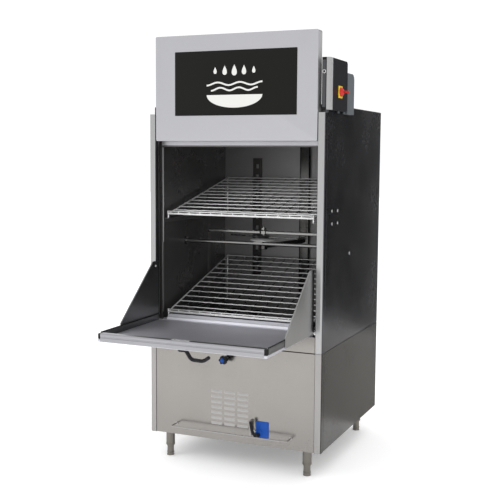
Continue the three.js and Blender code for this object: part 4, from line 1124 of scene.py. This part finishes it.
class WASHER_OT_spray_arms(Builder, bpy.types.Operator):
    """Spray arms with their nozzles and hubs, and the carrier bar between the racks"""

    bl_idname = "washer.spray_arms"
    bl_label = "Spray arms"

    def build(self):
        for node, up in (("upper_wash_arm", -1), ("middle_wash_arm", 1), ("lower_wash_arm", 1)):
            self.wash_arm(node, up)
        self.rinse_arm()
        self.carrier()

    def wash_arm(self, node, up, axis_y=400.0):
        """A flat tube with rounded edges and closed ends, dished nozzles along it and a turned hub."""
        x0, x1, _, _, z0, z1 = span(node)
        low, high = (z0 + 2, z1 - 3) if up > 0 else (z0 + 3, z1 - 2)
        tip = high if up > 0 else low
        form = Form().block(x0, x1, axis_y - 15, axis_y + 15, low, high, 7, 4)
        nozzle = [(8, -1), (8, 1.2), (6.4, 2.6), (4, 3), (3, 1.4)]
        for x in np.linspace(60, x1 - 28, 6):
            for side in (-1, 1):
                rows = [(radius, up * height) for radius, height in nozzle]
                form.turned(rows, (side * x, axis_y + side * 3, tip), "z", 16)
        hub = [(9, low - 2), (21, low - 2), (24, low), (24, high), (20, high + 2), (14, high + 2.6),
               (9, high + 2.6)]
        form.turned(hub, (0, axis_y, 0), "z", 32)
        piece(f"{node}_tube", form, "arm_steel", node, [node])

    def rinse_arm(self, axis_y=400.0, reach=220.0, turn=-12.0):
        """A thin arm turned a little from the wash arm, with small jets and a black hub."""
        node = "middle_rinse_arm"
        _, _, _, _, z0, z1 = span(node)
        low, high = z0 + 2, z1 - 3
        angle = math.radians(turn)
        along = np.array([math.cos(angle), math.sin(angle), 0])
        middle = np.array([0, axis_y, (low + high) / 2])
        form = Form().tube([middle - reach * along, middle + reach * along], 6, 16, (0, 0, 1), 1.5, 0.66)
        for distance in np.linspace(50, reach - 15, 5):
            for side in (-1, 1):
                spot = middle + side * distance * along
                form.turned([(3.6, 2.4), (3.6, 4.6), (2.2, 5.4)], spot, "z", 12)
        piece("rinse_arm_tube", form, "arm_steel", node, [node])
        form = Form().turned([(9, z0), (30, z0), (34, z0 + 2), (34, z1 - 3), (30, z1), (9, z1)],
                             (0, axis_y, 0), "z", 32)
        piece("rinse_arm_hub", form, "black_plastic", node)

    def carrier(self, axis_y=400.0):
        """The crossbar with its wall flanges, the dished plate and the spindle with its nut."""
        x0, x1, _, _, _, _ = span("arm_carrier")
        bar_y, bar_z = 323.0, 1127.0
        form = Form().tube([(x0, bar_y, bar_z), (x1, bar_y, bar_z)], 10, 20)
        for side in (x0, x1 - 6):
            form.turned([(22, 0), (24, 1.4), (24, 4.6), (22, 6)], (side, bar_y, bar_z), "x", 32)
        form.block(-26, 26, bar_y - 8, axis_y, 1128, 1137, 4, 2)
        plate = [(60, 1136), (70, 1136.4), (72, 1138), (72, 1141), (69, 1143.6), (54, 1145), (40, 1147),
                 (30, 1150)]
        form.turned([(7.6, 1148), (7.6, 1211), (6.6, 1212)], (0, axis_y, 0), "z", 20)
        form.turned([(12, 1196), (14, 1197.4), (14, 1204.6), (12, 1206)], (0, axis_y, 0), "z", 6)
        piece("carrier_bar", form, "arm_steel", stands_for=["arm_carrier"])
        form = Form().turned(plate, (0, axis_y, 0), "z", 48)
        piece("carrier_disc", form, "disc_steel")


# ---- valves and knobs ----
class WASHER_OT_drain(Builder, bpy.types.Operator):
    """Drain lever with its plate, guide strip and valve"""

    bl_idname = "washer.drain"
    bl_label = "Drain"

    def build(self):
        x, z = 146.0, 194.0
        lever = rounded_path([(x, -26, z - 4), (x - 16, -29, z + 8), (x - 25, -32, z + 34),
                              (x - 30, -34, z + 74)], 12)
        form = Form().tube(lever, 7.4, 14, (0, 1, 0), 2.4, 1.2)
        form.turned([(10, -34), (12, -32), (12, -8), (10, -6)], (x, 0, z), "y", 28)
        form.turned([(5.8, -8), (5.8, 7.2)], (x, 0, z), "y", 20)
        piece("lever_grip", form, "black_plastic", "drain_lever", ["drain_lever"])
        y1 = span("drain_plate")[3]
        form = Form().block(131, 201, 0.6, y1, 178, 263, 5, 0.8, "y")
        form.turned([(20, 1), (20, -1), (18, -2.4), (11, -2.4)], (x, 0, z), "y", 28)
        form.stack(raised_rows(150, 195, 215, 256, 5, 0.8, -1.2, 3), "y")
        piece("drain_backplate", form, "blue_plastic", stands_for=["drain_plate"])
        form = Form().block(101, 112, -16, y1, 186, 266, 2, 1.6, "y")
        form.block(109, 131, 1, y1, 205, 215, 1, 0.4, "y")
        form.screw((106.5, -16, 256), "y", -1, 4, 1.6)
        piece("drain_guide", form, "rail_steel")
        form = Form()
        form.turned([(14, 8), (16, 9), (16, 78), (20, 78), (20, 300)], (x, 0, z), "y", 28)
        form.turned([(20, z - 6), (20, 439)], (x, 285, 0), "z", 28)
        form.turned([(24, 100), (26, 102), (26, 128), (24, 130)], (x, 0, z), "y", 6)
        piece("drain_pipe", form, "dark_steel", stands_for=["drain_valve"])


class WASHER_OT_panel_knob(Builder, bpy.types.Operator):
    """Black valve knob on the base front, with a blue cap"""

    bl_idname = "washer.panel_knob"
    bl_label = "Panel knob"

    def build(self):
        x, z = -31.0, 568.0
        t = np.linspace(0, 2 * np.pi, 60, endpoint=False)
        reach = 19.5 + 2.6 * np.cos(6 * t)
        ring = np.stack([x + reach * np.cos(t), z + reach * np.sin(t)], -1)
        form = Form()
        scale = [(0.86, -57), (1.0, -53), (1.0, -27), (0.9, -23), (0.62, -20)]
        rings = np.stack([np.insert((ring - [x, z]) * k + [x, z], 1, y, axis=1) for k, y in scale])
        form.shell(rings)
        form.turned([(12, -22), (12, -3), (10, -2)], (x, 0, z), "y", 24)
        form.turned([(5.8, -4), (5.8, 11.6)], (x, 0, z), "y", 20)
        piece("knob_body", form, "black_plastic", "panel_knob", ["panel_knob"])
        form = Form().turned([(10.5, -55), (11, -58.4), (9.6, -60.8), (4, -61.8)], (x, 0, z), "y", 32)
        form.block(x - 2.2, x + 2.2, -61.9, -59, z - 1, z + 14, 1.6, 0.6, "y")
        piece("knob_cap", form, "blue_plastic", "panel_knob")


# ---- controls ----
class WASHER_OT_control_box(Builder, bpy.types.Operator):
    """Control box on the right, with its key strip, rounded corner, feet, duct, switch and button"""

    bl_idname = "washer.control_box"
    bl_label = "Control box"

    def build(self):
        x0, x1, y0, y1, _, z1 = span("control_box")
        z0 = span("control_corner")[4]
        outer, inner = x1, 476.0
        round_ = 16.0
        strip = y0 + 38
        outline = np.vstack([[[strip, z0], [y1, z0]], arc((y1 - round_, z1 - round_), round_, 0, 90, 10),
                             [[strip, z1]]])
        form = Form().prism(outline, inner, outer, "x")
        form.block(x0, inner + 2, y0 + 34, y1 - 16, 1841, z1 - 1, 3, 1.5)
        piece("control_case", form, "box_side", stands_for=["control_box"], bevel=1.2)
        form = Form().block(x0, 478, y0, y0 + 34, z0, z1, 1.5, 1.0)
        piece("key_strip", form, "black_panel")
        form = Form().block(x0 + 3, 475, y0 - 0.9, y0 + 0.4, z0 + 12, z1 - 12, 3, 0.4, "y")
        form.block(x0 + 6, 472, y0 - 1.5, y0, 2006, 2044, 2, 0.4, "y")
        piece("key_film", form, "key_film")
        self.corner(y0, z0, z1, outer, strip)
        form = Form()
        for x, y in ((472, 24), (488, 160), (488, 245)):
            form.turned([(5, 0), (5.4, 2), (5.4, 10), (4, 12.4)], (x, y, z0 - 11), "z", 20)
        piece("box_feet", form, "grey_plastic")
        self.duct()
        self.button(y0)
        self.switch(outer)

    def corner(self, y0, z0, z1, outer, strip):
        """The bright quarter-round strip on the box's outer front edge, and the duller ribbed strip behind."""
        x0 = span("control_corner")[0]
        radius = 14.0
        outline = np.vstack([[[x0, y0]], arc((outer - radius, y0 + radius), radius, -90, -20, 12),
                             [[x0, y0 + radius - 5]]])
        form = Form().prism(outline, z0, z1, "z")
        piece("box_corner_strip", form, "post_steel", stands_for=["control_corner"],
              bevel=0.6)
        ribs = [(x0, y0 + radius - 4.6), (outer - 0.6, y0 + radius - 4.6), (outer - 0.2, y0 + radius)]
        for start in np.arange(y0 + radius + 3, strip - 4, 7.0):
            ribs += [(outer - 0.2, start), (outer - 1.8, start + 1), (outer - 1.8, start + 2.4),
                     (outer - 0.2, start + 3.4)]
        ribs += [(outer - 0.2, strip - 0.4), (x0, strip - 0.4)]
        form = Form().prism(np.array(ribs), z0, z1, "z")
        piece("box_ribbed_strip", form, "edge_steel")

    def duct(self):
        """The grey cable duct behind the box, rounded at its top, with a lid line."""
        x0, x1, y0, y1, z0, z1 = span("cable_duct")
        radius = 30.0
        outline = np.vstack([[[y0, z0], [y1, z0]], arc((y1 - radius, z1 - radius), radius, 0, 90, 12),
                             [[y0, z1]]])
        form = Form().prism(outline, x0, x1 - 1.4, "x")
        inset = np.vstack([[[y0 + 5, z0 + 5], [y1 - 5, z0 + 5]],
                           arc((y1 - radius, z1 - radius), radius - 5, 0, 90, 12), [[y0 + 5, z1 - 5]]])
        form.prism(inset, x1 - 2, x1, "x")
        piece("duct_cover", form, "grey_plastic", stands_for=["cable_duct"], bevel=1.0)

    def button(self, y0):
        """The start button in its collar."""
        x, z = 467.0, 1990.0
        form = Form().turned([(5.4, 4), (5.4, -1.4), (4.8, -2.3), (2, -2.5)], (x, y0, z), "y", 24)
        piece("start_cap", form, "black_plastic", "start_button", ["start_button"])
        form = Form().turned([(6.5, 1), (6.5, -1.7), (8, -1.7), (8.6, -1), (8.6, 1)], (x, y0, z), "y", 24)
        piece("start_collar", form, "wire_steel")

    def switch(self, outer):
        """The main switch: a yellow plate, a red collar and a bar grip across it."""
        y, z = 150.0, 1902.0
        x0, x1, y0, y1, z0, z1 = span("switch_plate")
        form = Form().block(x0, x1, y0, y1, z0, z1, 4, 0.9, "x")
        for dy, dz in ((-24, -24), (24, -24), (-24, 24), (24, 24)):
            form.screw((x1, y + dy, z + dz), "x", 1, 2.6, 0.9)
        piece("switch_backplate", form, "yellow_plastic", stands_for=["switch_plate"])
        base = x1 + 0.5
        collar = [(22, 0), (22, 3), (20.5, 6), (15, 12), (11, 15), (7, 16)]
        form = Form().turned([(radius, base + h) for radius, h in collar], (0, y, z), "x", 40)
        form.block(base + 13, base + 41.5, y - 5, y + 5, z - 5.5, z + 5.5, 4, 2.6, "x")
        form.turned([(5.6, outer - 7), (5.6, base + 2)], (0, y, z), "x", 20)
        piece("switch_grip", form, "red_plastic", "main_switch", ["main_switch"])


# ---- machinery ----
class WASHER_OT_machinery(Builder, bpy.types.Operator):
    """Wash pump, boiler and counterweight"""

    bl_idname = "washer.machinery"
    bl_label = "Machinery"

    def build(self):
        y, z = 420.0, 290.0
        form = Form()
        form.turned([(58, -330), (66, -326), (68, -318), (68, -122), (60, -110)], (0, y, z), "x", 40)
        for angle in np.radians(np.arange(20, 340, 20)):
            dy, dz = 66 * math.cos(angle), 66 * math.sin(angle)
            form.tube([(-312, y + dy, z + dz), (-130, y + dy, z + dz)], 3.4, 6, fillet=2)
        form.turned([(30, -112), (30, -80)], (0, y, z), "x", 28)
        form.turned([(70, -82), (86, -78), (88, -70), (88, -42), (84, -34), (70, -30)], (0, y, z), "x", 40)
        form.turned([(28, -32), (28, 20)], (0, y, z), "x", 28)
        form.turned([(28, z - 8), (28, 439)], (10, y, 0), "z", 28)
        form.block(-300, -140, y - 50, y + 50, 205, z - 50, 8, 4)
        form.block(-270, -180, y - 45, y + 45, z + 60, z + 96, 8, 4)
        piece("pump_casting", form, "cast_iron", stands_for=["wash_pump"])
        vessel = [(85, 190), (97, 197), (105, 216), (105, 394), (97, 408), (85, 414), (40, 419), (14, 420),
                  (12, 414)]
        form = Form().turned(vessel, (250, 680, 0), "z", 40)
        for height in (230, 380):
            form.turned([(105, height - 8), (106.4, height - 7), (106.4, height + 7), (105, height + 8)],
                        (250, 680, 0), "z", 40)
        piece("boiler_vessel", form, "dark_steel", stands_for=["boiler"])
        x0, x1, y0, y1, z0, z1 = span("counterweight")
        form = Form().block(x0, x1, y0, y1, z0, z1, 6, 2.5, "y")
        form.stack(raised_rows(x0 + 30, x1 - 30, z0 + 25, z1 - 25, 12, y1 - 0.5, y1 + 2, 6), "y")
        piece("counterweight_casting", form, "cast_iron", "counterweight", ["counterweight"])


# ---- stage ----
class WASHER_OT_stage(Builder, bpy.types.Operator):
    """Pale floor, soft studio light, a dark card out of view, and the camera"""

    bl_idname = "washer.stage"
    bl_label = "Stage"

    def build(self):
        self.floor()
        self.world()
        self.lights()
        self.dark_cards()
        self.camera()
        bpy.context.scene.view_settings.view_transform = "Standard"

    def sheet(self, name, corners, look):
        """A flat four-cornered sheet in metres."""
        mesh = bpy.data.meshes.new(name)
        mesh.from_pydata(corners, [], [(0, 1, 2, 3)])
        made = bpy.data.objects.new(name, mesh)
        bpy.context.scene.collection.objects.link(made)
        made.data.materials.append(finish(look))
        return made

    def floor(self):
        reach = 30.0
        self.sheet("studio_floor",
                   [(-reach, -reach, 0), (reach, -reach, 0), (reach, reach, 0), (-reach, reach, 0)],
                   "floor")

    def world(self):
        """An even pale surround."""
        world = bpy.data.worlds.new("Studio")
        world.use_nodes = True
        background = world.node_tree.nodes["Background"]
        background.inputs["Color"].default_value = (1.0, 1.0, 1.0, 1.0)
        background.inputs["Strength"].default_value = 1.06
        bpy.context.scene.world = world

    def lights(self):
        """Large soft boxes: one high on the left, one above the camera, and a weak one at the back."""
        for name, at, aim, side, power in (
            ("left_softbox", (-3.2, -3.0, 3.4), (0, 0.2, 1.0), 2.4, 60),
            ("front_softbox", (1.2, -4.8, 3.6), (0, 0.2, 1.1), 2.8, 50),
            ("back_softbox", (1.0, 4.5, 3.5), (0, 0.4, 1.2), 2.4, 30),
        ):
            lamp = bpy.data.lights.new(name, "AREA")
            lamp.shape = "SQUARE"
            lamp.size = side
            lamp.energy = power
            holder = bpy.data.objects.new(name, lamp)
            holder.visible_glossy = False
            holder.location = at
            holder.rotation_euler = (Vector(aim) - Vector(at)).to_track_quat("-Z", "Y").to_euler()
            bpy.context.scene.collection.objects.link(holder)

    def dark_cards(self):
        """Two cards on the right, out of the camera's sight, that the right side mirrors: a dark one stands
        behind for the hood, and a grey one lies on the floor for the base."""
        near, far = place([(900, 3600, 4)])[0], place([(3600, 4600, 3600)])[0]
        card = self.sheet("dark_card", [(near[0], near[1], near[2]), (far[0], far[1], near[2]),
                                        (far[0], far[1], far[2]), (near[0], near[1], far[2])], "rubber")
        near, far = place([(500, 1010, 3)])[0], place([(2600, 3590, 3)])[0]
        lying = self.sheet("grey_card", [(near[0], near[1], near[2]), (far[0], near[1], near[2]),
                                         (far[0], far[1], near[2]), (near[0], far[1], near[2])], "card")
        for each in (card, lying):
            each.visible_camera = False
            each.visible_shadow = False
            each.visible_diffuse = False

    def camera(self):
        """A camera turned by yaw about Z, then pitched and rolled: its right, up and back directions are
        the columns of its matrix."""
        yaw, pitch, roll = map(math.radians, (23.435, -5.931, 0.374))
        forward = np.array([-math.sin(yaw) * math.cos(pitch), math.cos(yaw) * math.cos(pitch),
                            math.sin(pitch)])
        level = np.array([math.cos(yaw), math.sin(yaw), 0.0])
        upright = np.cross(level, forward)
        right = math.cos(roll) * level + math.sin(roll) * upright
        up = -math.sin(roll) * level + math.cos(roll) * upright
        lens = bpy.data.cameras.new("Camera")
        lens.sensor_width = 36.0
        lens.lens = 65.83
        lens.clip_end = 200.0
        camera = bpy.data.objects.new("Camera", lens)
        at = place([(1887.1, -4139.2, 1596.0)])[0]
        matrix = Matrix.Identity(4)
        for column, values in enumerate((right, up, -forward, at)):
            for row in range(3):
                matrix[row][column] = values[row]
        camera.matrix_world = matrix
        bpy.context.scene.collection.objects.link(camera)
        bpy.context.scene.camera = camera


OPERATORS = (
    WASHER_OT_stage,
    WASHER_OT_posts,
    WASHER_OT_panels,
    WASHER_OT_chamber,
    WASHER_OT_sill,
    WASHER_OT_base_front,
    WASHER_OT_legs,
    WASHER_OT_upper_door,
    WASHER_OT_placard,
    WASHER_OT_lower_door,
    WASHER_OT_side_plates,
    WASHER_OT_door_handle,
    WASHER_OT_racks,
    WASHER_OT_spray_arms,
    WASHER_OT_drain,
    WASHER_OT_panel_knob,
    WASHER_OT_control_box,
    WASHER_OT_machinery,
)


class WASHER_PT_pieces(bpy.types.Panel):
    """Lists the pieces and what can be changed about them"""

    bl_idname = "WASHER_PT_pieces"
    bl_label = "Utensil washer"
    bl_space_type = "VIEW_3D"
    bl_region_type = "UI"
    bl_category = "Washer"

    def draw(self, context):
        for operator in OPERATORS:
            self.layout.operator(operator.bl_idname)
        for group in (context.scene.washer_sizes, context.scene.washer_colours):
            box = self.layout.box()
            for name in group.__annotations__:
                box.prop(group, name)


CLASSES = (WasherSizes, WasherColours, *OPERATORS, WASHER_PT_pieces)


def register():
    for each in CLASSES:
        bpy.utils.register_class(each)
    bpy.types.Scene.washer_sizes = bpy.props.PointerProperty(type=WasherSizes)
    bpy.types.Scene.washer_colours = bpy.props.PointerProperty(type=WasherColours)


def unregister():
    del bpy.types.Scene.washer_sizes
    del bpy.types.Scene.washer_colours
    for each in reversed(CLASSES):
        bpy.utils.unregister_class(each)


def main():
    """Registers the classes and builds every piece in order."""
    register()
    for operator in OPERATORS:
        group, name = operator.bl_idname.split(".")
        getattr(getattr(bpy.ops, group), name)()
    bpy.context.view_layer.update()


if __name__ == "__main__":
    main()
